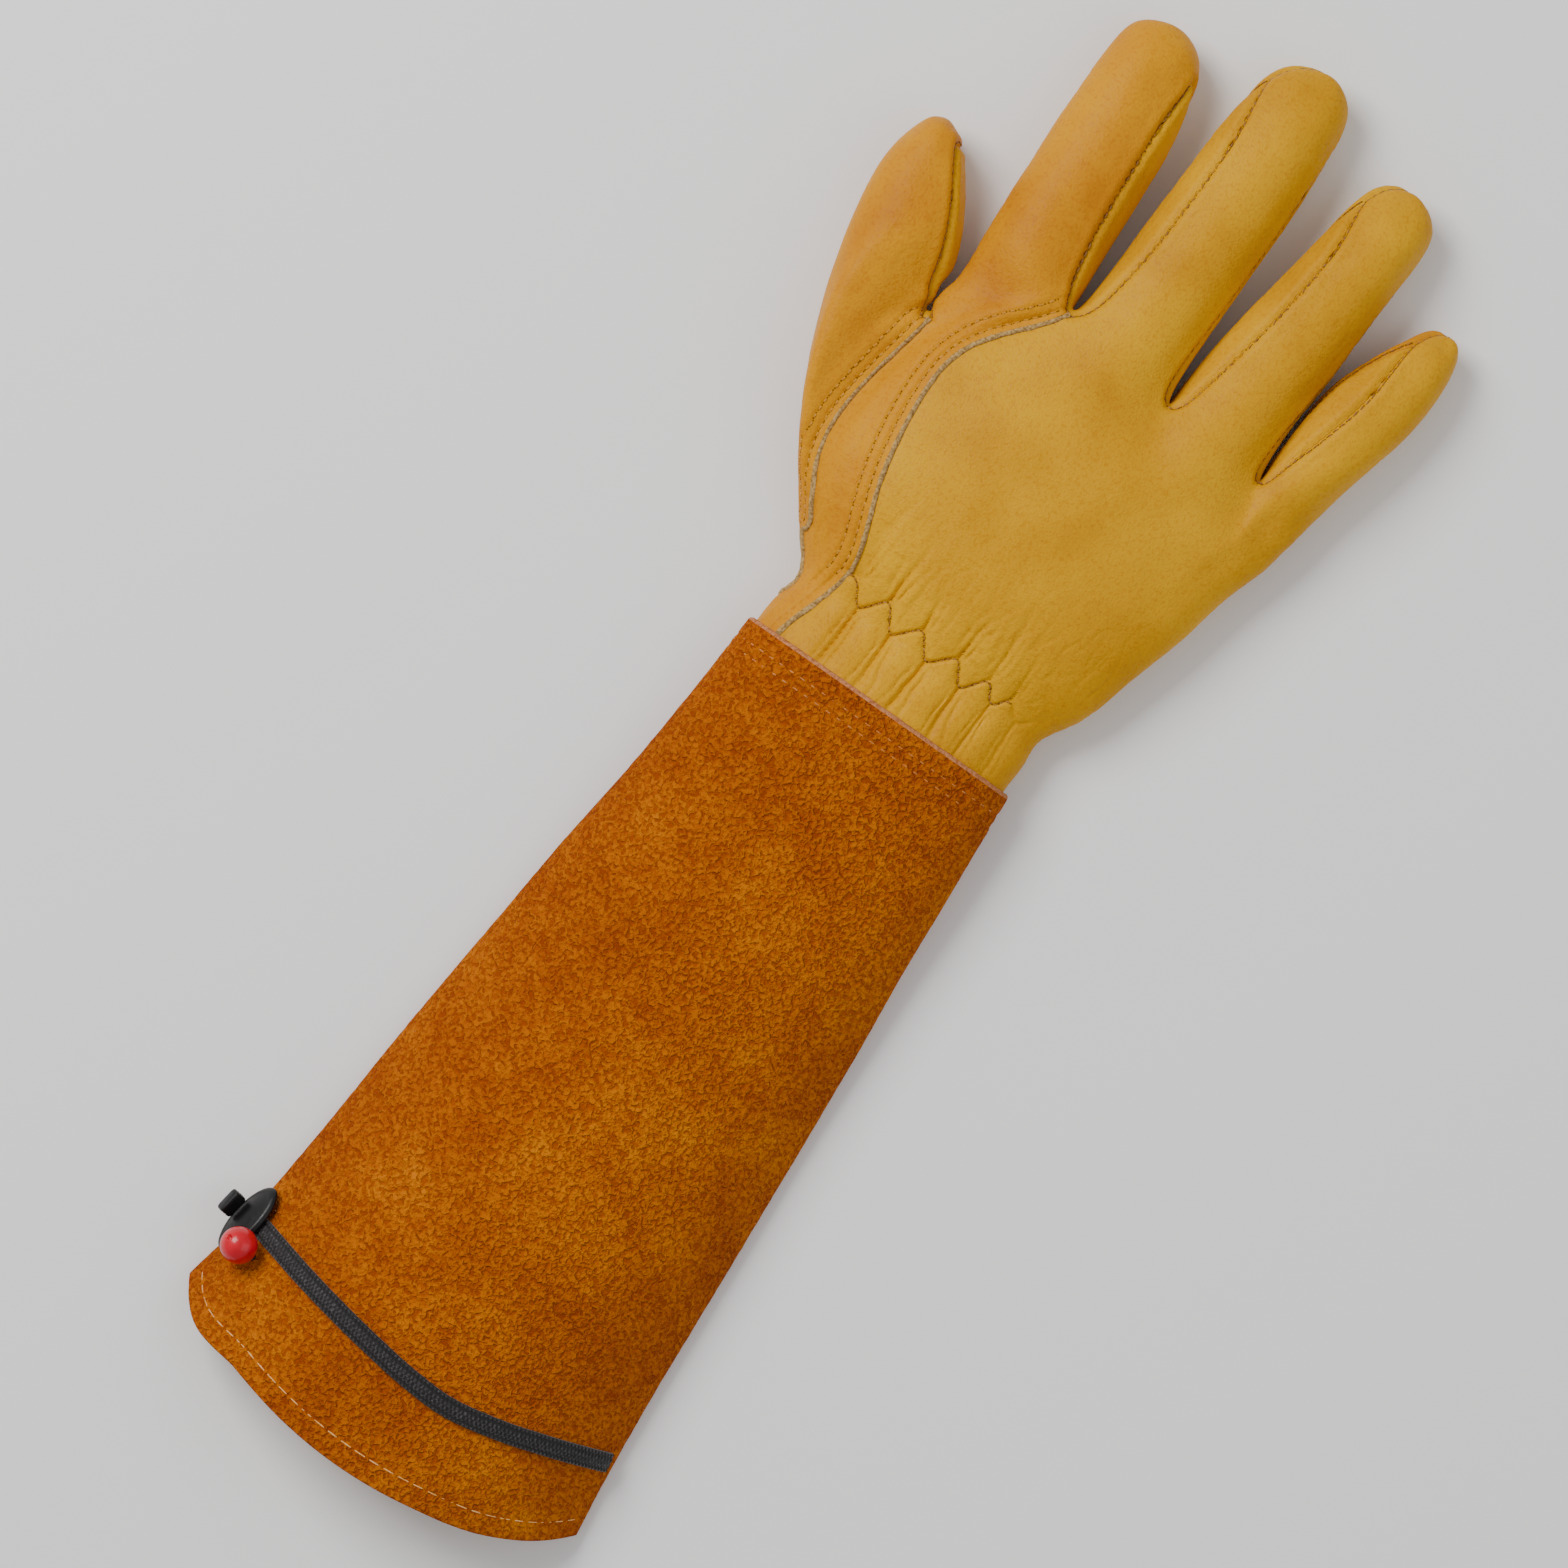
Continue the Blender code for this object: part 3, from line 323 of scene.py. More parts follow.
# How the cage is fitted to its points, and how often the seams' small steps are evened out
FIT_STEPS = 7
FIT_SHARE = 0.9
SURFACE_LEVELS = 3
SEAM_STEPS = 14
# A moved seam keeps the points that lie at least this share of the distance from the old one
BESIDE_SHARE = 0.8

# Columns: along from the wrist (share of CUFF_LENGTH), left, right (shares of CUFF_WIDTH)
CUFF_ROWS = (
    (0.000, -0.334, 0.334),
    (0.108, -0.345, 0.349),
    (0.216, -0.364, 0.364),
    (0.323, -0.389, 0.383),
    (0.431, -0.408, 0.400),
    (0.539, -0.427, 0.416),
    (0.647, -0.444, 0.431),
    (0.755, -0.461, 0.446),
    (0.862, -0.484, 0.467),
    (0.938, -0.512, 0.486),
    (1.000, -0.524, 0.500),
)
# Columns: across (share of the half width), along (share of CUFF_LENGTH)
MOUTH_EDGE = (
    (-1.00, 0.934),
    (-0.92, 0.957),
    (-0.60, 0.981),
    (-0.25, 0.997),
    (0.00, 1.000),
    (0.33, 0.993),
    (0.65, 0.976),
    (0.90, 0.945),
    (1.00, 0.926),
)
# Columns: across (share of CUFF_WIDTH), along (share of CUFF_LENGTH)
STRAP_LINE = (
    (-0.457, 0.842),
    (-0.433, 0.844),
    (-0.298, 0.857),
    (-0.127, 0.871),
    (0.000, 0.879),
    (0.085, 0.881),
    (0.211, 0.871),
    (0.317, 0.857),
    (0.446, 0.838),
)
PLATE_CENTRE = (-0.457, 0.846)
PLATE_TURN = 10.0
BEAD_CENTRE = (-0.4165, 0.874)

# Columns: along (share of HAND_LENGTH), across (share of PALM_WIDTH): the thumb's seam on its top
GUSSET_LINE = (
    (0.450, -0.448),
    (0.478, -0.465),
    (0.532, -0.490),
    (0.591, -0.543),
    (0.640, -0.600),
    (0.668, -0.630),
)

# Columns: across (share of PALM_WIDTH), lower edge along, upper edge along (shares of HAND_LENGTH)
PATCH_SHAPE = (
    (-0.330, 0.392, 0.462),
    (-0.240, 0.386, 0.483),
    (-0.148, 0.379, 0.492),
    (0.000, 0.342, 0.502),
    (0.125, 0.300, 0.496),
    (0.273, 0.267, 0.485),
    (0.400, 0.236, 0.474),
)
PATCH_STEPS = (64, 32)
PATCH_PRESS = 0.35
PATCH_NAP = 0.10

# The palm's two darts: ends (across, along) as shares of PALM_WIDTH and HAND_LENGTH
PALM_DARTS = (
    ((-0.245, 0.345), (-0.155, 0.075)),
    ((-0.135, 0.352), (-0.135, 0.082)),
)

# Edges of a piece that turn more than this many degrees are drawn sharp
SHARP_ANGLE = 50.0

DART_SPREAD = 1.5
DART_STEPS = 60

# Panels of the hand, by the number that each face of the cage carries
BACK, PALM, FRONTS, FORK_INDEX, FORK_MIDDLE, FORK_RING, THUMB, GUSSET = range(8)
PANEL_NAMES = (
    "back_panel",
    "palm_panel",
    "finger_fronts",
    "fourchette_index_middle",
    "fourchette_middle_ring",
    "fourchette_ring_little",
    "thumb_wrap",
    "thumb_gusset",
)

# How far across (share of PALM_WIDTH) and along (shares of HAND_LENGTH) the lapped seams reach
WRAP_SIDE = -0.10
WRAP_TOP = 0.57
FRONTS_TOP = 0.60
# The height of the thumb's middle (share of PALM_HEIGHT): its top seam lies above it
THUMB_MIDDLE = 0.39

# Kinds of seam: lapped by the index wrap, lapped by the thumb, or turned inside
SEAM_KINDS = ("wrap", "thumb", "turned")
# Which panel's leather lies on top at each kind of lapped seam
LAPPING = {"wrap": PALM, "thumb": THUMB}

# Thread and stitch sizes
STITCH_SIDES = 6
# Columns: along the stitch (share), height (share of its rise), thickness (share of the thread's)
STITCH_PROFILE = (
    (0.00, -1.00, 0.5),
    (0.12, 0.10, 0.9),
    (0.50, 0.75, 1.0),
    (0.88, 0.10, 0.9),
    (1.00, -1.00, 0.5),
)
HOLE_SIDES = 8
HOLE_SHIFT = 0.35
HOLE_STRETCH = 1.15
# Columns: ring (share of the hole's radius), height (mm)
HOLE_RINGS = (
    (1.00, 0.02),
    (0.55, 0.09),
)
# How stitches lie. Columns: share of the pitch covered, rise of the middle, sideways wobble (mm)
TURNED_LIE = (0.60, 0.08, 0.0)
LAPPED_LIE = (0.58, 0.14, 0.12)
ZIGZAG_LIE = (0.78, 0.10, 0.14)
DART_LIE = (0.60, 0.12, 0.0)
PATCH_COVER = 0.64
PATCH_RISE = 0.08
# Radius of the needle holes in the seams, the zigzag and the palm
SEAM_HOLE = 0.30
ZIGZAG_HOLE = 0.34
PALM_HOLE = 0.36
# Heights from which rays look for the leather, over and under the glove
RAYS_ABOVE = 80.0
RAYS_BELOW = -50.0
SEAM_STITCH = 2.3
LAP_STITCH = 2.5
CUFF_STITCH = 3.6
HEM_STITCH = 4.4
THREAD = 0.52
STITCH_REACH = 4.0
CUFF_ROW_DEPTHS = (6.2, 9.5)
CUFF_ROW_PRESS = (0.30, 0.8)
# Where the suede's waves begin, from the wrist edge and from the floor (mm)
WAVES_SPAN = (0.0, 10.0)
CUFF_TOP_SPAN = (1.0, 4.0)
HEM_ROW_DEPTH = 6.2
TURNED_ROW = 0.6
ZIGZAG_STITCH = 1.75
WEAVE_RIB = 1.25
WEAVE_LANES = 5
# Upper rib crowns higher than this share take the lighter webbing material: painted highlight
CROWN_HIGHLIGHT_FROM = 0.70
RIB_RISE = 0.42
STRAP_STEPS = 620
STRAP_SIDES = 64
STRAP_POWER = 0.4
BLOCK_POWER = 0.3
PLATE_SIDES = 72
BLOCK_SIDES = 48
BEAD_SIDES = 64
CORD_SIDES = 24
CORD_STEPS = 16
# The block's outline. Columns: height, width (shares of the block's), with the grip's ribs
BLOCK_PROFILE = (
    (0.00, 0.86),
    (0.12, 0.97),
    (0.30, 1.00),
    (0.45, 0.96),
    (0.60, 1.00),
    (0.75, 0.96),
    (0.88, 0.99),
    (0.96, 0.92),
    (1.00, 0.80),
)
# The bead's drilled top. Columns: width, height (shares of its radius)
BEAD_HOLE = (
    (0.170, 0.975),
    (0.145, 0.940),
    (0.120, 0.860),
    (0.0005, 0.800),
)
STRAP_REST = 0.20
SLOPE_STEP = 0.5

# The cuff's mesh: places round its top and its floor, rows along its skin, hem and lining, and how far
# along (shares of its length) the hem starts to turn and turns most
CUFF_COLUMNS = 150
CUFF_FLOOR_COLUMNS = 70
CUFF_SKIN_ROWS = 230
CUFF_HEM_ROWS = 12
CUFF_FOLD_ROWS = 5
CUFF_LINING_ROWS = 60
HEM_TURN_START = 0.9965
HEM_TURN_SIDE = 0.9988
# The raw wrist edge. Columns: along (share of the cut), depth (share of the leather), raggedness (mm)
WRIST_EDGE = (
    (0.0, 0.55, 0.30),
    (0.3, 0.16, 0.22),
)
RAGGED_SIZE = 2.4
# The hem's fold. Columns: along (share), depth (share of the folded thickness)
HEM_TURN = (
    (HEM_TURN_SIDE, 0.12),
    (1.0, 0.50),
    (HEM_TURN_SIDE, 0.88),
)

# Settings of a colour mix that darkens one colour by another
MULTIPLY = {"data_type": "RGBA", "blend_type": "MULTIPLY"}

# The suede's crinkles, with painted shade in their furrows: packed worms 0.9 mm wide, drawn a little wider
# so that they show
CRINKLE_CELL = 1.3

# Columns: across, along (mm) of the elastic zigzag's peaks and valleys in turn, from a peak on
ZIGZAG = (
    (-24.7, 24.3),
    (-20.1, 17.6),
    (-14.0, 24.7),
    (-8.9, 16.7),
    (-2.2, 23.6),
    (3.0, 16.2),
    (9.9, 22.7),
    (14.5, 15.5),
    (20.3, 22.8),
    (24.1, 16.7),
    (27.9, 21.5),
    (32.5, 16.8),
    (37.0, 20.5),
)
ZIGZAG_ROUNDING = 0.8
LAP_ROWS_END = 21.5
STITCH_SINK = 0.09
WRIST_COVER = 0.42
HEM_COVER = 0.74
FLOOR_COVER = 0.60

# The photograph's frame: its width, its centre from the wrist seam, and the glove's lean in it
PHOTO_WIDTH = 424.2
PHOTO_CENTRE = (-9.2, -32.2)
PHOTO_LEAN = 35.0
CAMERA_HEIGHT = 2600.0
SENSOR_WIDTH = 36.0
VIEW_DEPTH = 20.0

# Studio, in metres and watts. Columns: name, up and right in the photograph, height, size, power, colour
FLOOR_SIZE = 6.0
FLOOR_DROP = 0.0006
SKY_STRENGTH = 0.48
LIGHTS = (
    ("key_softbox", 0.9, -0.8, 1.3, 0.9, 29.0, (1.0, 0.99, 0.97)),
    ("fill_softbox", -0.5, 1.2, 1.5, 1.6, 7.0, (1.0, 1.0, 1.0)),
)


def table_value(table, at, column):
    """Read one column along a smooth curve through a table's rows; the first column is the key."""
    keys = np.array([row[0] for row in table])
    values = np.array([row[column] for row in table])
    slopes = np.gradient(values, keys)
    at = min(max(at, keys[0]), keys[-1])
    i = min(int(np.searchsorted(keys, at, side="right")) - 1, len(keys) - 2)
    step = keys[i + 1] - keys[i]
    t = (at - keys[i]) / step
    start = (1 + 2 * t) * (1 - t) ** 2 * values[i] + t * (1 - t) ** 2 * step * slopes[i]
    end = t * t * (3 - 2 * t) * values[i + 1] + t * t * (t - 1) * step * slopes[i + 1]
    return float(start + end)


def smoothstep(low, high, value):
    """Rise smoothly from 0 at low to 1 at high."""
    t = np.clip((value - low) / (high - low), 0.0, 1.0)
    return t * t * (3 - 2 * t)


def bell(value, width):
    """A bell of height 1 round zero."""
    return np.exp(-((value / width) ** 2))


def ridge(value, size):
    """A bell of a height and width."""
    height, width = size
    return height * bell(value, width)


def boxed(value, power):
    """A sine or cosine brought nearer to 1 or -1, which squares a round outline."""
    return math.copysign(abs(value) ** power, value)


def unit(vectors):
    """A vector, or each of an array of them, at length 1."""
    lengths = np.linalg.norm(vectors, axis=-1, keepdims=True)
    return vectors / np.maximum(lengths, SMALLEST)


def edge_of(a, b):
    """The key of the edge between two points, the same both ways."""
    return (min(a, b), max(a, b))


class Section:
    """One cross-section of the cuff or the palm: flat floor, round sides and an arched top."""

    def __init__(self, left, right, floor, side, top, roundness):
        self.left = left
        self.right = right
        self.floor = floor
        self.side = side
        self.top = top
        self.roundness = roundness
        self.middle = (left + right) / 2
        self.half = (right - left) / 2
        self.corner = min(CORNER_REACH * (side - floor), CORNER_MOST * self.half)

    def top_at(self, x):
        """Height of the arched top over a place across."""
        u = min(abs(x - self.middle) / self.half, 1.0)
        return self.side + (self.top - self.side) * (1 - u**ARCH_POWER) ** self.roundness

    def floor_at(self, x):
        """Height of the flat floor, which turns up at the sides."""
        inside = self.half - min(abs(x - self.middle), self.half)
        if inside >= self.corner:
            return self.floor
        turn = (self.corner - inside) / self.corner
        return self.side - (self.side - self.floor) * math.sqrt(1 - turn * turn)

    def place(self, share):
        """The place across that a share of the half width stands for."""
        return self.middle + self.half * share


def cuff_section(y, inset):
    """The cuff's section at a place along, moved in by a distance."""
    along = min(max(-y / CUFF_LENGTH, 0.0), 1.0)
    left = table_value(CUFF_ROWS, along, 1) * CUFF_WIDTH
    right = table_value(CUFF_ROWS, along, 2) * CUFF_WIDTH
    wide = smoothstep(0.0, 1.0, along)
    side = WRIST_SIDE + (MOUTH_SIDE - WRIST_SIDE) * smoothstep(0.0, SIDE_LOW_AT, along)
    top = WRIST_HEIGHT + (MOUTH_HEIGHT - WRIST_HEIGHT) * wide
    full = smoothstep(0.0, ARCH_FULL_AT, along)
    roundness = WRIST_ARCH + (MOUTH_ARCH - WRIST_ARCH) * full
    sideways = inset * (INSET_AT_WRIST + INSET_GROWTH * full)
    raised = inset + max((side - inset) * SIDE_SHARE, LEAST_RISE)
    return Section(left + sideways, right - sideways, inset, raised, top - inset, roundness)


def palm_section(row):
    """The palm's section at one row of PALM_ROWS."""
    left = row[2] * PALM_WIDTH
    right = row[3] * PALM_WIDTH
    return Section(left, right, SOLE_FLOOR, row[7] * PALM_HEIGHT, row[6] * PALM_HEIGHT, PALM_ARCH)


def column_places(start, lap, end, spread, lap_line):
    """Places across of the 13 lines of a palm row, evenly spaced at the wrist, by finger at the crotches."""
    first = list(np.linspace(start, lap, lap_line + 1))
    even = np.linspace(lap, end, LINE_COUNT - lap_line)[1:]
    marks = [lap_line, *FINGER_LINES, LINE_COUNT - 1]
    places = [lap] + [share[0] * PALM_WIDTH for share in CROTCHES[1:4]] + [end]
    if lap_line == LAP_LINE:
        marks = marks[1:]
        places = [lap] + places[2:]
    by_finger = np.interp(np.arange(lap_line + 1, LINE_COUNT), marks, places)
    return first + list(even + (by_finger - even) * spread)


def palm_ring(left_y, right_y, section, lap, thumb_line, spread):
    """The 28 points of one palm row: top, little side, sole, thumb side."""
    inset = CORNER_INSET * PALM_WIDTH
    start = section.left + min(inset, START_SHARE * (lap - section.left))
    end = section.right - inset
    tops = column_places(start, lap, end, spread, LAP_LINE)
    soles = column_places(start, thumb_line, end, spread, THUMB_LINE)

    def along(x):
        return left_y + (right_y - left_y) * (x - start) / (end - start)

    ring = [(x, along(x), section.top_at(x)) for x in tops]
    ring.append((section.right, right_y, section.side))
    ring += [(x, along(x), section.floor_at(x)) for x in reversed(soles)]
    ring.append((section.left, left_y, section.side))
    return ring


def crotch_ring():
    """The 28 points of the row where the fingers part."""
    marks = [share[0] * PALM_WIDTH for share in CROTCHES]
    places = [share[1] * HAND_LENGTH for share in CROTCHES]
    top = CROTCH_TOP * PALM_HEIGHT
    side = CROTCH_SIDE * PALM_HEIGHT
    section = Section(marks[0], marks[-1], SOLE_FLOOR, side, top, CROTCH_ARCH)
    inset = CORNER_INSET * PALM_WIDTH
    marks[0] += inset
    marks[-1] -= inset
    lines = range(LINE_COUNT)
    parting = (0, *FINGER_LINES, LINE_COUNT - 1)
    across = np.interp(lines, parting, marks)
    alongs = np.interp(lines, parting, places)
    dips = [CROTCH_DIP if line in FINGER_LINES else 1.0 for line in lines]
    ring = [(x, y, section.top_at(x) * d) for x, y, d in zip(across, alongs, dips)]
    ring.append((section.right, places[-1], section.side))
    soles = [(x, y, section.floor_at(x) + (1 - d) * CROTCH_LIFT) for x, y, d in zip(across, alongs, dips)]
    ring += soles[::-1]
    ring.append((section.left, places[0], section.side))
    return ring


def finger_ring(row):
    """The 10 points of one row of a finger."""
    along, left, right, height, roll = row
    middle = (left + right) / 2 * PALM_WIDTH
    half = (right - left) / 2 * PALM_WIDTH
    tall = (height * PALM_HEIGHT - FINGER_FLOOR) / 2
    ring = []
    for angle in FINGER_ANGLES:
        turned = math.radians(angle - roll)
        x = middle + half * math.cos(turned)
        ring.append((x, along * HAND_LENGTH, FINGER_FLOOR + tall + tall * math.sin(turned)))
    return ring


def finger_tip(last, tip, count):
    """The points inside a tip's cap, along its middle line."""
    half = (last[2] - last[1]) / 2 * PALM_WIDTH
    z = FINGER_FLOOR + (last[3] * PALM_HEIGHT - FINGER_FLOOR) / 2
    shares = np.linspace(-TIP_SPREAD, TIP_SPREAD, count)
    return [(tip[1] * PALM_WIDTH + half * s, tip[0] * HAND_LENGTH, z) for s in shares]


def thumb_place(row, share):
    """A place on the bowed line between a thumb row's outer and inner side."""
    outer = np.array((row[0] * PALM_WIDTH, row[1] * HAND_LENGTH))
    inner = np.array((row[2] * PALM_WIDTH, row[3] * HAND_LENGTH))
    line = inner - outer
    away = unit(np.array((-line[1], line[0])))
    bow = row[4] * PALM_WIDTH * (1 - (2 * share - 1) ** 2)
    return outer + line * share + away * bow


def thumb_ring(row):
    """The 12 points of one row of the thumb."""
    ring = []
    for angle in THUMB_ANGLES:
        turned = math.radians(angle)
        x, y = thumb_place(row, (1 + math.cos(turned)) / 2)
        ring.append((x, y, (row[5] + row[6] * math.sin(turned)) * PALM_HEIGHT))
    return ring


class Cage:
    """The hand's coarse quads: the points that the leather passes through, and each face's panel."""

    def __init__(self):
        self.points = []
        self.faces = []
        self.panels = []
        self.rounded = []

    def add_ring(self, ring):
        """Add a row of points and return their numbers."""
        first = len(self.points)
        self.points += [tuple(map(float, point)) for point in ring]
        return list(range(first, first + len(ring)))

    def add_face(self, corners, panel):
        self.faces.append(tuple(corners))
        self.panels.append(panel)

    def join_rings(self, low, high, panel_of):
        """Join two rows by quads, with the panel that a function gives for each side."""
        count = len(low)
        for k in range(count):
            panel = panel_of(k)
            if panel is not None:
                after = (k + 1) % count
                self.add_face((low[k], low[after], high[after], high[k]), panel)

    def close_tip(self, ring, inside, top_panel, sole_panel):
        """Close a finger or the thumb by a cap two quads high."""
        wide = len(inside) + 1
        top = ring[: wide + 1]
        sole = ring[wide + 2 : 2 * wide + 3][::-1]
        line = [ring[-1]] + inside + [ring[wide + 1]]
        for k in range(wide):
            self.add_face((top[k], top[k + 1], line[k + 1], line[k]), top_panel)
            self.add_face((line[k], line[k + 1], sole[k + 1], sole[k]), sole_panel)


def palm_panel_of(row, k):
    """The panel of one quad of the palm, or none where the thumb grows."""
    if k in (SOLE_END, THUMB_SIDE) and THUMB_FIRST_ROW <= row < THUMB_LAST_ROW:
        return None
    if k == SOLE_END and WRIST_ROWS <= row < THUMB_FIRST_ROW:
        return THUMB
    if k in (SOLE_END - 2, SOLE_END - 1) and WRIST_ROWS <= row < THUMB_LAST_ROW - 1:
        return THUMB
    if row == FRONTS_ROW and SOLE_END - FINGER_LINES[-1] <= k < SOLE_END - FINGER_LINES[0]:
        return FRONTS
    if LAP_LINE <= k <= LITTLE_SIDE:
        return BACK
    return PALM


def palm_rings():
    """All rows of the palm, from inside the cuff to the crotches."""
    inset = CUFF_LEATHER + NEST_GAP
    rings = []
    for y in (-NESTED_LENGTH, 0.0):
        section = cuff_section(y, inset)
        rings.append(palm_ring(y, y, section, WRIST_LAP * PALM_WIDTH, WRIST_THUMB * PALM_WIDTH, 0.0))
    for row in PALM_ROWS:
        spread = smoothstep(SPREAD_FROM, SPREAD_TO, row[0])
        low, high = row[0] * HAND_LENGTH, row[1] * HAND_LENGTH
        lap, thumb_line = row[4] * PALM_WIDTH, row[5] * PALM_WIDTH
        rings.append(palm_ring(low, high, palm_section(row), lap, thumb_line, spread))
    crotches = np.array(crotch_ring())
    before = np.array(rings[-1])
    rings.append(before + (crotches - before) * FRONTS_SHARE)
    rings.append(crotches)
    return rings


def hand_cage():
    """The whole hand: palm, four fingers and the thumb."""
    cage = Cage()
    rows = [cage.add_ring(ring) for ring in palm_rings()]
    for i in range(len(rows) - 1):
        cage.join_rings(rows[i], rows[i + 1], lambda k, i=i: palm_panel_of(i, k))
    last = rows[-1]
    side_height = CROTCH_SIDE * PALM_HEIGHT
    between = []
    for share in CROTCHES[1:4]:
        between += cage.add_ring([(share[0] * PALM_WIDTH, share[1] * HAND_LENGTH, side_height)])
    sides = [last[THUMB_SIDE]] + between + [last[LITTLE_SIDE]]
    cage.rounded += between
    for line in FINGER_LINES:
        cage.rounded += [last[line], last[SOLE_END - line]]
    tops = (PALM, BACK, BACK, BACK)
    soles = (PALM, FRONTS, FRONTS, PALM)
    rights = (FORK_INDEX, FORK_MIDDLE, FORK_RING, BACK)
    lefts = (PALM, FORK_INDEX, FORK_MIDDLE, FORK_RING)
    for f, table in enumerate(FINGERS.values()):
        ring = last[3 * f : 3 * f + 4] + [sides[f + 1]]
        ring += [last[SOLE_END - line] for line in range(3 * f + 3, 3 * f - 1, -1)]
        ring.append(sides[f])
        by_side = [tops[f]] * 3 + [rights[f]] * 2 + [soles[f]] * 3 + [lefts[f]] * 2
        for row in table[:-1]:
            after = cage.add_ring(finger_ring(row))
            cage.join_rings(ring, after, lambda k, s=by_side: s[k])
            ring = after
        inside = cage.add_ring(finger_tip(table[-2], table[-1], 2))
        cage.close_tip(ring, inside, tops[f], soles[f])
    grow_thumb(cage, rows)
    used = sorted({corner for face in cage.faces for corner in face})
    numbers = {old: new for new, old in enumerate(used)}
    points = np.array([cage.points[old] for old in used])
    faces = [tuple(numbers[corner] for corner in face) for face in cage.faces]
    return points, faces, cage.panels, [numbers[old] for old in cage.rounded]


def grow_thumb(cage, rows):
    """Grow the thumb from the open patch on the palm's side."""
    first, final = THUMB_FIRST_ROW, THUMB_LAST_ROW
    cage.rounded += [rows[final][0], rows[final][SOLE_END], rows[final][THUMB_SIDE]]
    cage.rounded += [rows[i][SOLE_END] for i in range(first + 1, final)]
    ring = [rows[i][0] for i in range(first, final + 1)]
    ring.append(rows[final][THUMB_SIDE])
    ring += [rows[i][SOLE_END] for i in range(final, first - 1, -1)]
    ring.append(rows[first][THUMB_SIDE])
    for row in THUMB_ROWS[:-1]:
        after = cage.add_ring(thumb_ring(row))
        cage.join_rings(ring, after, lambda k: GUSSET if k in (4, 5) else THUMB)
        ring = after
    tip = THUMB_ROWS[-1]
    places = [thumb_place(tip, share) for share in (0.0, 0.5, 1.0)]
    inside = cage.add_ring([(x, y, tip[5] * PALM_HEIGHT) for x, y in places])
    cage.close_tip(ring, inside, THUMB, THUMB)


def smoothed(points, faces, panels, levels):
    """Catmull-Clark surface of a cage: points, quads and each quad's panel."""
    mesh = bpy.data.meshes.new("cage")
    mesh.from_pydata([tuple(p) for p in points], [], faces)
    mesh.polygons.foreach_set("material_index", panels)
    mesh.update()
    body = bpy.data.objects.new("cage", mesh)
    bpy.context.scene.collection.objects.link(body)
    modifier = body.modifiers.new("smooth", "SUBSURF")
    modifier.levels = levels
    modifier.render_levels = levels
    shaped = body.evaluated_get(bpy.context.evaluated_depsgraph_get())
    result = shaped.to_mesh()
    coordinates = np.empty(len(result.vertices) * 3)
    result.vertices.foreach_get("co", coordinates)
    quads = np.empty(len(result.loops), dtype=np.int32)
    result.loops.foreach_get("vertex_index", quads)
    numbers = np.empty(len(result.polygons), dtype=np.int32)
    result.polygons.foreach_get("material_index", numbers)
    shaped.to_mesh_clear()
    bpy.data.objects.remove(body, do_unlink=True)
    bpy.data.meshes.remove(mesh)
    return coordinates.reshape(-1, 3), quads.reshape(-1, 4), numbers


def fitted_cage(points, faces, panels, rounded):
    """Move the cage so that its smooth surface passes through its points, but for the rounded ones."""
    cage = points.copy()
    share = np.full((len(points), 1), FIT_SHARE)
    share[rounded] = 0.0
    for _ in range(FIT_STEPS):
        surface, _, _ = smoothed(cage, faces, panels, 1)
        cage += share * (points - surface[: len(points)])
    return cage


def vertex_normals(points, quads):
    """Area-weighted normals of a quad mesh."""
    normals = np.zeros_like(points)
    across = points[quads[:, 2]] - points[quads[:, 0]]
    up = points[quads[:, 3]] - points[quads[:, 1]]
    face_normals = np.cross(across, up)
    for k in range(4):
        np.add.at(normals, quads[:, k], face_normals)
    return unit(normals)


def rumple(points, size, seed):
    """Smooth noise at each point, from -1 to 1, with bumps of a size in millimetres."""
    shift = Vector(SEED_SHIFT) * seed
    values = [noise.noise(Vector(p) / size + shift) for p in points]
    return np.array(values)


def waves(points, table):
    """The height of a table's waves at each point."""
    return sum(height * rumple(points, size, seed) for height, size, seed in table)


# Leather of the hand

def zigzag_turn(x):
    """How many zigzags lie between the first peak and a place across."""
    return np.interp(x, [row[0] for row in ZIGZAG], np.arange(len(ZIGZAG)) / 2)


def zigzag_line(x):
    """Where the elastic's zigzag stitch runs, over a place across, its corners rounded."""
    across = [row[0] for row in ZIGZAG]
    along = [row[1] for row in ZIGZAG]
    sides = [np.interp(x + shift, across, along) for shift in (-ZIGZAG_ROUNDING, 0.0, ZIGZAG_ROUNDING)]
    return sum(sides) / 3


def uneven(number, rate, phase):
    """A value from -1 to 1 that differs from one crease to the next."""
    return np.sin(number * rate + phase)


def faded(value, share, start, end):
    """Fall smoothly from 1 at start, by a share, at end."""
    return 1 - share * smoothstep(start, end, value)


def creases(offset, away, width, spread, widening, branches):
    """A crease and its branches, by the offset from its line and the distance from the stitch."""
    total = bell(offset, width + CREASE_WIDENING * away)
    for side, weight, start in branches:
        begun = smoothstep(start, start + BRANCH_RISE, away)
        total = total + weight * begun * bell(offset - side * (spread + widening * away), BRANCH_WIDTH)
    return total


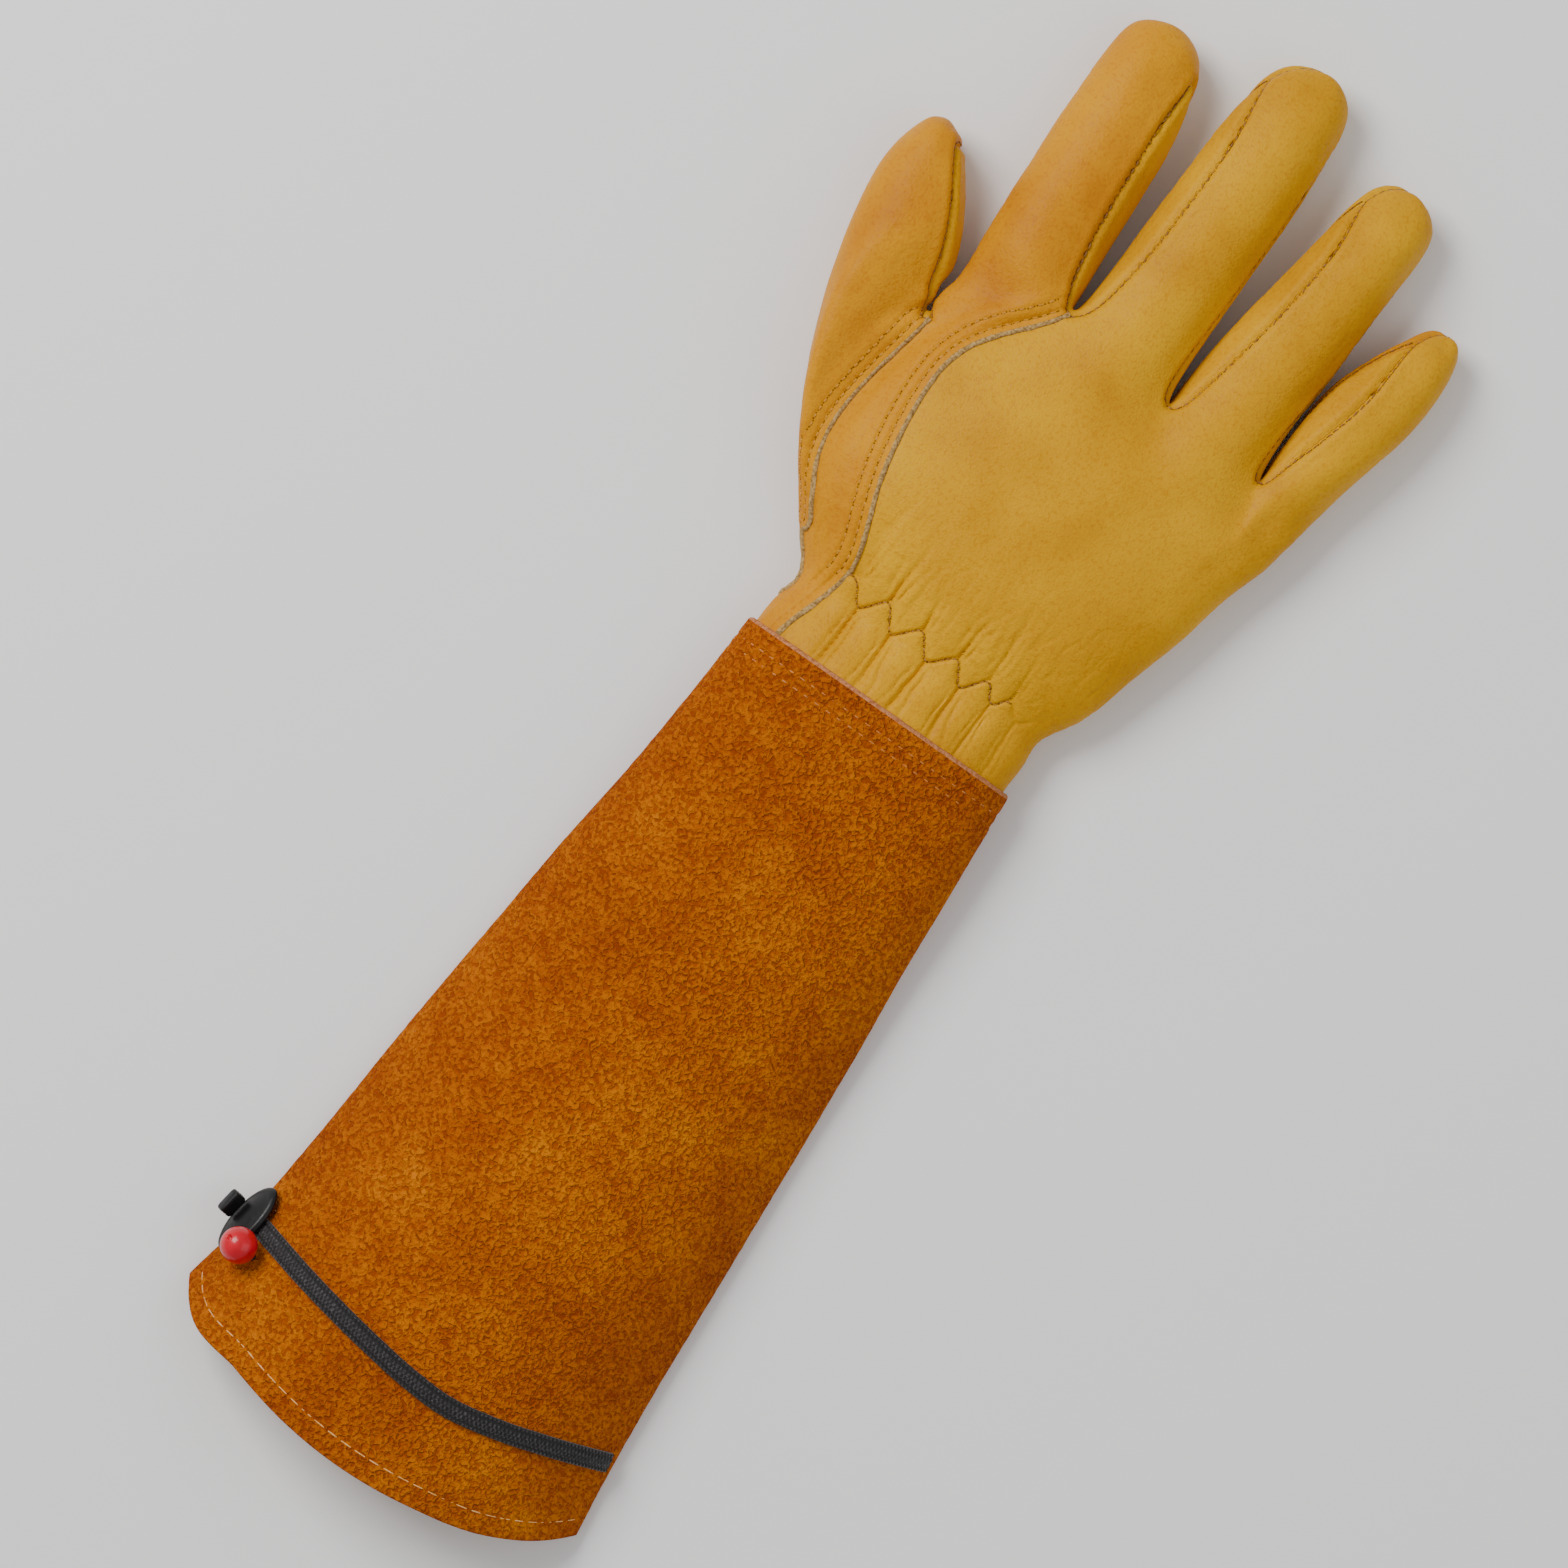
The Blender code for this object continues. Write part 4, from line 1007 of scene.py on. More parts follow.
def gather_depth(points):
    """How far the leather stands in or out round the elastic's zigzag stitch."""
    x, y, z = points.T
    waver = waves(points, ZIGZAG_WAVER)
    turn = zigzag_turn(x)
    number = np.round(turn)
    above = y - zigzag_line(x)
    up = np.clip(above, 0, None)
    down = np.clip(-above, 0, None)
    lean = waver / FAN_WAVER - uneven(number, *FAN_TURN) / LEAN_LENGTH
    from_peak = (turn - number) * GATHER_PERIOD + lean * up
    valley = np.floor(turn) + 0.5
    lean = waver / FOLD_WAVER + FOLD_LEAN * uneven(valley, *FOLD_TURN) / LEAN_LENGTH
    from_valley = (turn - valley) * GATHER_PERIOD + lean * down
    reach = GATHER_REACH + REACH_SWING * uneven(number, *REACH_TURN)
    rising = smoothstep(*ONSET, above) * bell(up, reach)
    falling = smoothstep(*ONSET, -above) * faded(down, *FOLD_FADE)
    fans = creases(from_peak, up, *FAN_SHAPE, FANS)
    folds = creases(from_valley, down, *FOLD_SHAPE, FOLDS)
    wave = 0.5 * np.cos(2 * math.pi * turn)
    puffs = rising * (0.5 - wave) + falling * (0.5 + wave)
    depth = PUFF_HEIGHT * puffs - CREASE_DEPTH * (rising * fans + falling * folds)
    depth = depth - GROOVE_DEPTH * bell(above, GROOVE_WIDTH)
    where = smoothstep(*BACK_SPAN, z / PALM_HEIGHT) * smoothstep(*SIDE_SPAN, x) * smoothstep(*CUFF_SPAN, y)
    for fade in SIDE_FADES:
        where = where * faded(x, *fade)
    return depth * where


def crease_lines(points, table):
    """Creases where a table's noises pass through zero, at each point."""
    return sum(weight * bell(rumple(points, size, seed), width) for weight, size, seed, width in table)


def soft_wrinkles(points):
    """Slack and fine creases of worn-in leather over the whole hand."""
    y = points[:, 1]
    slack = waves(points, HAND_SLACK)
    fine = crease_lines(points * FINE_STRETCH, FINE_CREASES)
    fine = fine * smoothstep(*CREASED_SPAN, rumple(points, *CREASED_PATCHES))
    upright = crease_lines(points * UPRIGHT_STRETCH, UPRIGHT_CREASES)
    upright = upright * bell(y - UPRIGHT_MIDDLE, UPRIGHT_REACH)
    return (slack - FINE_DEPTH * fine - UPRIGHT_DEPTH * upright) * smoothstep(*RIM_SPAN, y)


def finger_place(finger, centre):
    """A point's place in a finger's section: share of the half width, and angle round the finger."""
    along, *columns = zip(*FINGERS[finger][:-1])
    left, right, height, roll = [np.interp(centre[1] / HAND_LENGTH, along, column) for column in columns]
    half = (right - left) / 2 * PALM_WIDTH
    tall = (height * PALM_HEIGHT - FINGER_FLOOR) / 2
    share = (centre[0] - (left + right) / 2 * PALM_WIDTH) / half
    rise = (centre[2] - FINGER_FLOOR - tall) / tall
    return share, math.degrees(math.atan2(rise, share)) + roll


def tapered_fork(centre):
    """Whether a fourchette's face lies over (1), under (-1) or inside (0) the narrowed strip."""
    places = {finger: finger_place(finger, centre) for finger in FINGERS}
    finger = min(places, key=lambda name: abs(places[name][0]))
    share, angle = places[finger]
    end = FINGERS[finger][-2][0] * HAND_LENGTH
    room = FORK_ANGLE * min(max((end - centre[1]) / TAPER_LENGTH, 0.0), 1.0) ** TAPER_POWER
    if share < 0:
        angle = 180.0 - angle
    angle = (angle + 180.0) % 360.0 - 180.0
    if end - centre[1] > TAPER_LENGTH or abs(angle) <= room:
        return 0
    return 1 if angle > 0 else -1


class HandSkin:
    """The hand's surface with its seams, stitch holes, and the leather's height over it."""

    def __init__(self):
        targets, faces, panels, rounded = hand_cage()
        cage = fitted_cage(targets, faces, panels, rounded)
        self.base, self.quads, self.panels = smoothed(cage, faces, panels, SURFACE_LEVELS)
        self.shape_panels()
        self.normals = vertex_normals(self.base, self.quads)
        self.find_seams()
        self.smooth_seams()
        self.trees = {}
        for kind in SEAM_KINDS:
            numbers = sorted({v for edge in self.kinds[kind] for v in edge})
            self.trees[kind] = point_tree(self.base[numbers])
        self.place_stitches()
        self.fine = {panel: self.refine(panel) for panel in range(len(PANEL_NAMES))}

    def shape_panels(self):
        """Narrow the fourchettes to points, and run the thumb's top seam down to the crotch."""
        centres = self.base[self.quads].mean(axis=1)
        line = np.array(GUSSET_LINE) * np.array((HAND_LENGTH, PALM_WIDTH))
        middle = THUMB_MIDDLE * PALM_HEIGHT
        for i, panel in enumerate(self.panels):
            centre = centres[i]
            if panel in (FORK_INDEX, FORK_MIDDLE, FORK_RING):
                side = tapered_fork(centre)
                finger_left = centre[0] < CROTCHES[1][0] * PALM_WIDTH
                finger_last = centre[0] > CROTCHES[3][0] * PALM_WIDTH
                if side > 0:
                    self.panels[i] = PALM if finger_left else BACK
                elif side < 0:
                    self.panels[i] = PALM if finger_left or finger_last else FRONTS
            elif panel == GUSSET and centre[2] > middle:
                if centre[0] < np.interp(centre[1], line[:, 0], line[:, 1]):
                    self.panels[i] = THUMB

    def find_seams(self):
        """Collect the edges between panels, by pair and by kind."""
        owners = {}
        for quad, panel in zip(self.quads.tolist(), self.panels.tolist()):
            for k in range(4):
                a, b = quad[k], quad[(k + 1) % 4]
                owners.setdefault(edge_of(a, b), []).append(panel)
        self.seams = {}
        for edge, pair in owners.items():
            if len(pair) == 2 and pair[0] != pair[1]:
                self.seams.setdefault(tuple(sorted(pair)), []).append(edge)
        self.kinds = {kind: [] for kind in SEAM_KINDS}
        for pair, edges in self.seams.items():
            for edge in edges:
                self.kinds[self.seam_kind(pair, edge)].append(edge)

    def seam_kind(self, pair, edge):
        """Whether a seam is lapped by the index wrap, lapped by the thumb, or turned inside."""
        x, y, _ = self.base[edge[0]]
        if pair == (BACK, PALM) and x < WRAP_SIDE * PALM_WIDTH and y < WRAP_TOP * HAND_LENGTH:
            return "wrap"
        if pair == (PALM, FRONTS) and y < FRONTS_TOP * HAND_LENGTH:
            return "wrap"
        if pair == (PALM, THUMB):
            return "thumb"
        return "turned"

    def smooth_seams(self):
        """Even out the seams' small steps along the surface."""
        near = {}
        for edges in self.seams.values():
            for a, b in edges:
                near.setdefault(a, set()).add(b)
                near.setdefault(b, set()).add(a)
        moving = [v for v, others in near.items() if len(others) == 2]
        for _ in range(SEAM_STEPS):
            moved = {}
            for v in moving:
                a, b = near[v]
                moved[v] = self.base[v] * 0.5 + (self.base[a] + self.base[b]) * 0.25
            for v, place in moved.items():
                shift = place - self.base[v]
                self.base[v] += shift - self.normals[v] * float(shift @ self.normals[v])

    def place_stitches(self):
        """Lay out the stitch ends along every seam; those of the lapped seams dimple the leather."""
        self.rows = []
        ends = []
        for pair, edges in self.seams.items():
            for line in ordered_lines(edges):
                kind = self.seam_kind(pair, (line[len(line) // 2],))
                if kind == "turned":
                    order = (BACK, PALM, THUMB, FRONTS, FORK_INDEX, FORK_MIDDLE, FORK_RING, GUSSET)
                    over = min(pair, key=order.index)
                    path = self.beside(line, TURNED_ROW, over)
                    self.rows.append((kind, over, even_points(path, SEAM_STITCH)))
                    continue
                over = LAPPING[kind]
                both = kind == "thumb" or self.base[line][:, 2].mean() > SOLE_ROWS_TOP
                for distance, _ in LAP_ROWS if both else LAP_ROWS[:1]:
                    path = self.beside(line, distance, over)
                    self.rows.append((kind, over, even_points(path, LAP_STITCH)))
                    ends.append(self.rows[-1][2])
        self.holes = point_tree(np.vstack(ends))

    def beside(self, line, distance, toward):
        """A seam line moved sideways over the base, toward the side that a panel lies on."""
        points = self.base[line]
        ahead = np.gradient(points, axis=0)
        side = unit(np.cross(self.normals[line], ahead))
        quads = self.quads[self.panels == toward]
        near = self.base[quads[np.isin(quads, line).any(axis=1)]].mean(axis=1)
        middle = len(line) // 2
        gaps = near - points[middle]
        closest = gaps[np.argmin(np.linalg.norm(gaps, axis=1))]
        sign = 1.0 if float(closest @ side[middle]) > 0 else -1.0
        moved = points + side * distance * sign
        tree = point_tree(points)
        keep = [i for i, p in enumerate(moved) if tree.find(Vector(p))[2] > BESIDE_SHARE * distance]
        return moved[keep] if len(keep) > 3 else moved

    def height(self, panel, points):
        """How far one panel's leather stands off the base at points on it."""
        wrap, thumb, turned = [distances(self.trees[kind], points) for kind in SEAM_KINDS]
        height = gather_depth(points) + soft_wrinkles(points)
        height += ridge(turned - PUFF_AT, SEAM_PUFF) - ridge(turned, SEAM_VALLEY)
        over = {PALM: wrap, THUMB: thumb}.get(panel)
        if over is not None:
            height += LAP_HEIGHT * (1 - smoothstep(LAP_FLAT, LAP_END, over))
            height -= sum(ridge(over - distance, (depth, ROW_WIDTH)) for distance, depth in LAP_ROWS)
            height -= ridge(distances(self.holes, points), HOLE_DIP)
        tucked = {BACK: wrap, FRONTS: wrap, PALM: thumb}.get(panel)
        if tucked is not None:
            height -= ridge(tucked, TUCK)
        return height

    def refine(self, panel):
        """One panel's quads split in four: outer points, normals, heights, quads and edge middles."""
        own = self.quads[self.panels == panel]
        points = list(self.base)
        normals = list(self.normals)
        middles = {}
        fine = []

        def middle(a, b):
            edge = edge_of(a, b)
            if edge not in middles:
                middles[edge] = len(points)
                points.append((self.base[a] + self.base[b]) / 2)
                normals.append((self.normals[a] + self.normals[b]) / 2)
            return middles[edge]

        for quad in own.tolist():
            sides = [middle(quad[k], quad[(k + 1) % 4]) for k in range(4)]
            centre = len(points)
            points.append(self.base[quad].mean(axis=0))
            normals.append(self.normals[quad].mean(axis=0))
            for k in range(4):
                fine.append((quad[k], sides[k], centre, sides[k - 1]))
        fine = np.array(fine)
        used, numbers = np.unique(fine, return_inverse=True)
        places = np.array(points)[used]
        normals = unit(np.array(normals)[used])
        heights = self.height(panel, places)
        return {
            "own": own,
            "normals": normals,
            "heights": heights,
            "outer": places + normals * heights[:, None],
            "quads": numbers.reshape(-1, 4),
            "numbers": {int(old): i for i, old in enumerate(used)},
            "middles": middles,
        }

    def panel_tree(self, *panels):
        """A search tree of the outer leather of some panels."""
        points = []
        quads = []
        for panel in panels:
            fine = self.fine[panel]
            quads += (fine["quads"] + len(points)).tolist()
            points += [Vector(p) for p in fine["outer"]]
        return BVHTree.FromPolygons(points, quads)


def point_tree(points):
    """A search tree of points."""
    tree = KDTree(len(points))
    for i, point in enumerate(points):
        tree.insert(Vector(point), i)
    tree.balance()
    return tree


def distances(tree, points):
    """Each point's distance from the nearest point of a search tree."""
    return np.array([tree.find(Vector(p))[2] for p in points])


def ordered_lines(edges):
    """Edges joined end to end into lines of point numbers."""
    after = {}
    for a, b in edges:
        after.setdefault(a, []).append(b)
        after.setdefault(b, []).append(a)
    lines = []
    left = set(after)
    while left:
        ends = [v for v in left if len(after[v]) == 1]
        line = [min(ends) if ends else min(left)]
        left.discard(line[0])
        while True:
            onward = [v for v in after[line[-1]] if v in left]
            if not onward:
                break
            line.append(onward[0])
            left.discard(onward[0])
        if len(line) > 3:
            lines.append(line)
    return lines


def seam_rims(quads):
    """The edges of a set of quads that only one of them has, in the quad's direction."""
    edges = {}
    for quad in quads.tolist():
        for k in range(4):
            edges[(quad[k], quad[(k + 1) % 4])] = True
    return [(a, b) for a, b in edges if (b, a) not in edges]


def circle(around):
    """Cosine and sine of evenly spaced turns."""
    turns = [2 * math.pi * j / around for j in range(around)]
    return [(math.cos(turn), math.sin(turn)) for turn in turns]


def ring_faces(first, rings, around):
    """Quads between rings of points that follow one another from a first point on."""
    faces = []
    for i in range(rings - 1):
        for j in range(around):
            a = first + i * around + j
            b = first + i * around + (j + 1) % around
            faces.append((a, b, b + around, a + around))
    return faces


def ring_ends(first, rings, around):
    """The faces that close the first and the last ring."""
    last = first + (rings - 1) * around
    return [tuple(range(first, first + around))[::-1], tuple(range(last, last + around))]


def turned_over(faces):
    """Faces that look the other way, each from the same first corner."""
    return [(face[0], *face[:0:-1]) for face in faces]


def build_panel(skin, panel, origin):
    """One leather panel: fine grain side, flesh side and raw rims."""
    fine = skin.fine[panel]
    own = fine["own"]
    rims = seam_rims(own)
    outer = fine["outer"].copy()
    numbers = fine["numbers"]
    for a, b in rims:
        ahead = skin.base[b] - skin.base[a]
        for v in (a, fine["middles"][edge_of(a, b)]):
            place = numbers[v]
            outer[place] += unit(np.cross(fine["normals"][place], ahead)) * SEAM_GAP / 2
    used = np.unique(own)
    inside = {int(old): len(outer) + i for i, old in enumerate(used)}
    fine_rows = [numbers[int(old)] for old in used]
    lowered = np.minimum(fine["heights"][fine_rows], 0.2) - LEATHER
    inner = skin.base[used] + skin.normals[used] * lowered[:, None]
    faces = fine["quads"].tolist()
    sides = [0] * len(faces)
    for quad in own.tolist():
        faces.append([inside[v] for v in reversed(quad)])
        sides.append(1)
    for a, b in rims:
        between = numbers[fine["middles"][edge_of(a, b)]]
        faces.append([numbers[b], between, numbers[a], inside[a], inside[b]])
        sides.append(2)
    return make_piece(PANEL_NAMES[panel] + "_leather", np.vstack([outer, inner]), faces, origin, sides)


def build_cut_edges(skin, origin):
    """The pale cut edges of the lapped leathers, as bands that slope down to the leather below."""
    points = []
    faces = []
    for pair, edges in skin.seams.items():
        for line in ordered_lines(edges):
            kind = skin.seam_kind(pair, (line[len(line) // 2],))
            if kind == "turned":
                continue
            over = LAPPING[kind]
            under = [panel for panel in pair if panel != over][0]
            middle = skin.base[line]
            toward = unit(skin.beside(line, 0.01, under) - middle)
            normals = skin.normals[line]
            common = gather_depth(middle) + soft_wrinkles(middle)
            first = len(points)
            for i in range(len(line)):
                rough = CUT_ROUGH * noise.noise(Vector(middle[i]) / ROUGH_SIZE)
                wide = CUT_EDGE * (1.0 + CUT_SWING * noise.noise(Vector(middle[i]) / SWING_SIZE))
                top = LAP_HEIGHT + rough
                for across, share, rise, from_top in CUT_SECTION:
                    offset = toward[i] * (across + share * wide)
                    points.append(middle[i] + offset + normals[i] * (common[i] + rise + from_top * top))
            faces += ring_faces(first, len(line), len(CUT_SECTION))
            faces += ring_ends(first, len(line), len(CUT_SECTION))
    return make_piece("lapped_cut_edges", points, faces, origin)


def make_piece(name, points, faces, origin, sides=None):
    """A mesh object from points in the pattern's frame, with a material number for each face."""
    mesh = bpy.data.meshes.new(name)
    placed = (np.array(points) + origin) * MM
    mesh.from_pydata(placed.tolist(), [], [tuple(map(int, face)) for face in faces])
    if sides is not None:
        mesh.polygons.foreach_set("material_index", sides)
    mesh.shade_smooth()
    mesh.update()
    mesh.set_sharp_from_angle(angle=math.radians(SHARP_ANGLE))
    piece = bpy.data.objects.new(name, mesh)
    bpy.context.scene.collection.objects.link(piece)
    return piece


def finish_piece(piece, slot_name, nodes, *materials):
    """Give a piece its materials and its body, and hide the CAD nodes that it stands for; slot_name is not
    used.
    """
    for material in materials:
        piece.data.materials.append(material)
    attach(piece, "root")
    if nodes:
        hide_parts(*nodes)


# Suede cuff

def cuff_stops(columns, floor_columns):
    """Shares of the half width round the cuff: over the top, then back along the floor."""
    top = [(share, True) for share in np.cos(np.linspace(math.pi, 0, columns + 1))]
    flat = np.sin(np.linspace(math.pi / 2, -math.pi / 2, floor_columns + 2))[1:-1]
    return top + [(share, False) for share in flat]


def cuff_place(share, upper, along, inset):
    """A point on the cuff's skin."""
    end = table_value(MOUTH_EDGE, share, 1) * CUFF_LENGTH
    section = cuff_section(-along * end, inset)
    x = section.place(share)
    z = section.top_at(x) if upper else section.floor_at(x)
    return (x, -along * end, z)


def cuff_skin(alongs, inset, columns=CUFF_COLUMNS, floor_columns=CUFF_FLOOR_COLUMNS):
    """Rows of the cuff's skin, as an array of rows, places round and coordinates."""
    stops = cuff_stops(columns, floor_columns)
    return np.array([[cuff_place(share, upper, a, inset) for share, upper in stops] for a in alongs])


def grid_normals(grid):
    """Normals of a grid that is closed round."""
    around = np.roll(grid, -1, axis=1) - np.roll(grid, 1, axis=1)
    along = np.gradient(grid, axis=0)
    return unit(np.cross(along, around))


def cuff_relief(points):
    """How far the suede stands in or out: slow waves, pressed hem and stitch lines, and nap."""
    _, y, z = points.T
    slow = waves(points, CUFF_WAVES)
    nap = waves(points, CUFF_NAP)
    lines = sum(ridge(y + depth, CUFF_ROW_PRESS) for depth in CUFF_ROW_DEPTHS)
    return (slow * smoothstep(*WAVES_SPAN, -y) - lines) * smoothstep(*CUFF_TOP_SPAN, z) + nap


def build_cuff(origin):
    """The suede cuff with a raw wrist edge and a hem turned inward."""
    hem_start = 1 - HEM_DEPTH / CUFF_LENGTH
    cut = CUT_EDGE / CUFF_LENGTH
    pressed = np.linspace(hem_start, HEM_TURN_START, CUFF_HEM_ROWS)[1:]
    skin = cuff_skin(np.concatenate([np.linspace(cut, hem_start, CUFF_SKIN_ROWS), pressed]), 0.0)
    normals = grid_normals(skin)
    wide = skin.shape[1]
    flat = skin.reshape(-1, 3)
    flat = flat + normals.reshape(-1, 3) * cuff_relief(flat)[:, None]
    flat[:, 2] = np.maximum(flat[:, 2], 0.02)
    skin = flat.reshape(skin.shape)
    deep = CUFF_LEATHER + HEM_FOLD
    turn = [cuff_skin([along], share * deep) for along, share in HEM_TURN]
    hem = cuff_skin(np.linspace(HEM_TURN_START, hem_start, CUFF_FOLD_ROWS), deep)
    inner = cuff_skin(np.linspace(hem_start - 0.002, 0.0, CUFF_LINING_ROWS), CUFF_LEATHER)
    edge = [cuff_skin([share * cut], depth * CUFF_LEATHER) for share, depth, _ in WRIST_EDGE]
    for row, (_, _, ragged) in zip(edge, WRIST_EDGE):
        row[0, :, 1] += [ragged * noise.noise(Vector(p) / RAGGED_SIZE) for p in row[0]]
    rows = np.concatenate([skin] + turn + [hem, inner] + edge)
    faces = []
    sides = []
    folded = len(skin) + len(turn) + len(hem) - 1
    for i in range(len(rows)):
        after = (i + 1) % len(rows)
        side = 1 if i >= len(rows) - 3 else (0 if i < folded else 2)
        for j in range(wide):
            k = (j + 1) % wide
            faces.append((i * wide + k, after * wide + k, after * wide + j, i * wide + j))
            sides.append(side)
    return make_piece("cuff_suede", rows.reshape(-1, 3), faces, origin, sides)


def cuff_top_point(across, along, lift):
    """A point over the cuff's top skin, lifted along the skin's normal, with that normal."""
    x = across * CUFF_WIDTH
    y = -along * CUFF_LENGTH
    step = SLOPE_STEP
    here = cuff_section(y, 0.0).top_at(x)
    inward = step if x < 0 else -step
    slope_x = (cuff_section(y, 0.0).top_at(x + inward) - here) / inward
    slope_y = (cuff_section(y + step, 0.0).top_at(x) - here) / step
    normal = unit(np.array((-slope_x, -slope_y, 1.0)))
    return np.array((x, y, here)) + normal * lift, normal


# Stitches

def stitch_mesh(rows, radius, name, origin):
    """Threads as short bent tubes: each row is (start, end, normal, rise of the thread's middle)."""
    points = []
    faces = []
    for start, end, normal, rise in rows:
        aside = unit(np.cross(unit(end - start), normal))
        faces += ring_faces(len(points), len(STITCH_PROFILE), STITCH_SIDES)
        faces += ring_ends(len(points), len(STITCH_PROFILE), STITCH_SIDES)
        for share, lift, thick in STITCH_PROFILE:
            middle = start + (end - start) * share + normal * (rise * lift)
            for c, s in circle(STITCH_SIDES):
                points.append(middle + (aside * c + normal * s) * radius * thick)
    return make_piece(name, points, faces, origin)


def even_points(line, pitch):
    """Points at an even spacing along a line of points."""
    line = np.array(line)
    steps = np.linalg.norm(np.diff(line, axis=0), axis=1)
    lengths = np.concatenate([[0.0], np.cumsum(steps)])
    count = max(int(lengths[-1] / pitch), 1)
    places = np.linspace(0, lengths[-1], count + 1)
    return np.stack([np.interp(places, lengths, line[:, k]) for k in range(3)], axis=1)


def covered(first, second, cover):
    """The ends of a stitch that covers a share of the way between two places."""
    gap = (second - first) * (1 - cover) / 2
    return first + gap, second - gap


def stitches_on(tree, places, cover, rise, wobble=0.0):
    """Stitches that lie on a surface between places: each covers a share of its pitch."""
    rows = []
    for i in range(len(places) - 1):
        start, end = covered(places[i], places[i + 1], cover)
        near, normal, _, gap = tree.find_nearest(Vector(start))
        far, _, _, far_gap = tree.find_nearest(Vector(end))
        if near is None or far is None or max(gap, far_gap) > STITCH_REACH:
            continue
        normal = np.array(normal)
        shift = unit(np.cross(normal, end - start)) * wobble * math.sin(i * 2.4)
        rows.append((np.array(near) + shift, np.array(far) - shift, normal, rise))
    return rows


def surface_line(tree, places, start):
    """The points where upright rays that start over or under the glove meet a surface."""
    way = -1 if start > 0 else 1
    line = []
    for x, y in places:
        place, _, _, _ = tree.ray_cast(Vector((x, y, start)), Vector((0, 0, way)))
        if place is not None:
            line.append(np.array(place))
    return line


def hole_mesh(rows, radius, name, origin):
    """Needle holes at both ends of each stitch, as small dark dips in the leather; their dark colour is
    painted shade of the holes.
    """
    points = []
    faces = []
    for start, end, normal, _ in rows:
        ahead = unit(end - start)
        aside = unit(np.cross(ahead, normal))
        for place, way in ((start, -1.0), (end, 1.0)):
            first = len(points)
            middle = place + ahead * way * radius * HOLE_SHIFT
            for ring, lift in HOLE_RINGS:
                for c, s in circle(HOLE_SIDES):
                    spoke = ahead * c * HOLE_STRETCH + aside * s
                    points.append(middle + spoke * radius * ring + normal * lift)
            faces += turned_over(ring_faces(first, 2, HOLE_SIDES))
            faces.append(tuple(range(first + HOLE_SIDES, first + 2 * HOLE_SIDES))[::-1])
    return make_piece(name, points, faces, origin)


def build_hand_stitches(skin, origin):
    """Threads in the hand's seams, with their needle holes."""
    trees = {panel: skin.panel_tree(panel) for panel in range(len(PANEL_NAMES))}
    turned = []
    lapped = []
    for kind, over, places in skin.rows:
        if kind == "turned":
            turned += stitches_on(trees[over], places, *TURNED_LIE)
        else:
            lapped += stitches_on(trees[over], places, *LAPPED_LIE)
    lapped = [row for row in lapped if row[0][1] > LAP_ROWS_END]
    seams = stitch_mesh(turned, THREAD / 2, "seam_stitches", origin)
    laps = stitch_mesh(lapped, THREAD / 2, "lap_stitches", origin)
    return seams, laps, hole_mesh(turned + lapped, SEAM_HOLE, "needle_holes", origin)


def build_zigzag(skin, origin):
    """The elastic's zigzag thread across the back of the wrist, and its needle holes."""
    tree = skin.panel_tree(BACK)
    across = np.arange(GATHER_START - 5.0, GATHER_END, GATHER_PERIOD / 40)
    line = surface_line(tree, zip(across, zigzag_line(across)), RAYS_ABOVE)
    rows = stitches_on(tree, even_points(line, ZIGZAG_STITCH), *ZIGZAG_LIE)
    thread = stitch_mesh(rows, THREAD / 1.5, "elastic_zigzag", origin)
    return thread, hole_mesh(rows, ZIGZAG_HOLE, "zigzag_holes", origin)


def build_palm_stitches(skin, origin):
    """Two double rows that meet in a V on the palm."""
    tree = skin.panel_tree(PALM)
    rows = []
    for (x0, y0), (x1, y1) in PALM_DARTS:
        for offset in (-DART_SPREAD, DART_SPREAD):
            across = np.linspace(x0, x1, DART_STEPS) * PALM_WIDTH + offset
            along = np.linspace(y0, y1, DART_STEPS) * HAND_LENGTH
            line = surface_line(tree, zip(across, along), RAYS_BELOW)
            rows += stitches_on(tree, even_points(line, LAP_STITCH), *DART_LIE)
    thread = stitch_mesh(rows, THREAD / 2, "palm_stitches", origin)
    return thread, hole_mesh(rows, PALM_HOLE, "palm_holes", origin)


def build_patch_stitches(lower, origin):
    """The cream row just inside the palm patch's long edges and ends."""
    grid = np.array(lower).reshape(PATCH_STEPS[0] + 1, PATCH_STEPS[1] + 1, 3)
    rows = []
    for line in (grid[2:-2, 2], grid[2:-2, -3], grid[2, 2:-2], grid[-3, 2:-2]):
        places = even_points(line, LAP_STITCH)
        for i in range(len(places) - 1):
            ahead = places[i + 1] - places[i]
            normal = unit(np.cross(ahead, np.cross((0.0, 0.0, -1.0), ahead)))
            rows.append((*covered(places[i], places[i + 1], PATCH_COVER), normal, PATCH_RISE))
    return stitch_mesh(rows, THREAD / 2, "patch_stitches", origin)


def build_cuff_stitches(origin):
    """Two rows under the cuff's wrist edge, sunk into the nap, and the hem's cream row."""
    wrist = []
    hem = []
    for upper in (True, False):
        for depth in CUFF_ROW_DEPTHS:
            wrist += cuff_row(depth, 0.0, CUFF_STITCH, upper, WRIST_COVER)
        hem += cuff_row(0.0, HEM_ROW_DEPTH, HEM_STITCH, upper, HEM_COVER)
    rows = stitch_mesh(wrist, THREAD / 2, "cuff_stitches", origin)
    return rows, stitch_mesh(hem, THREAD / 2.4, "hem_stitches", origin)


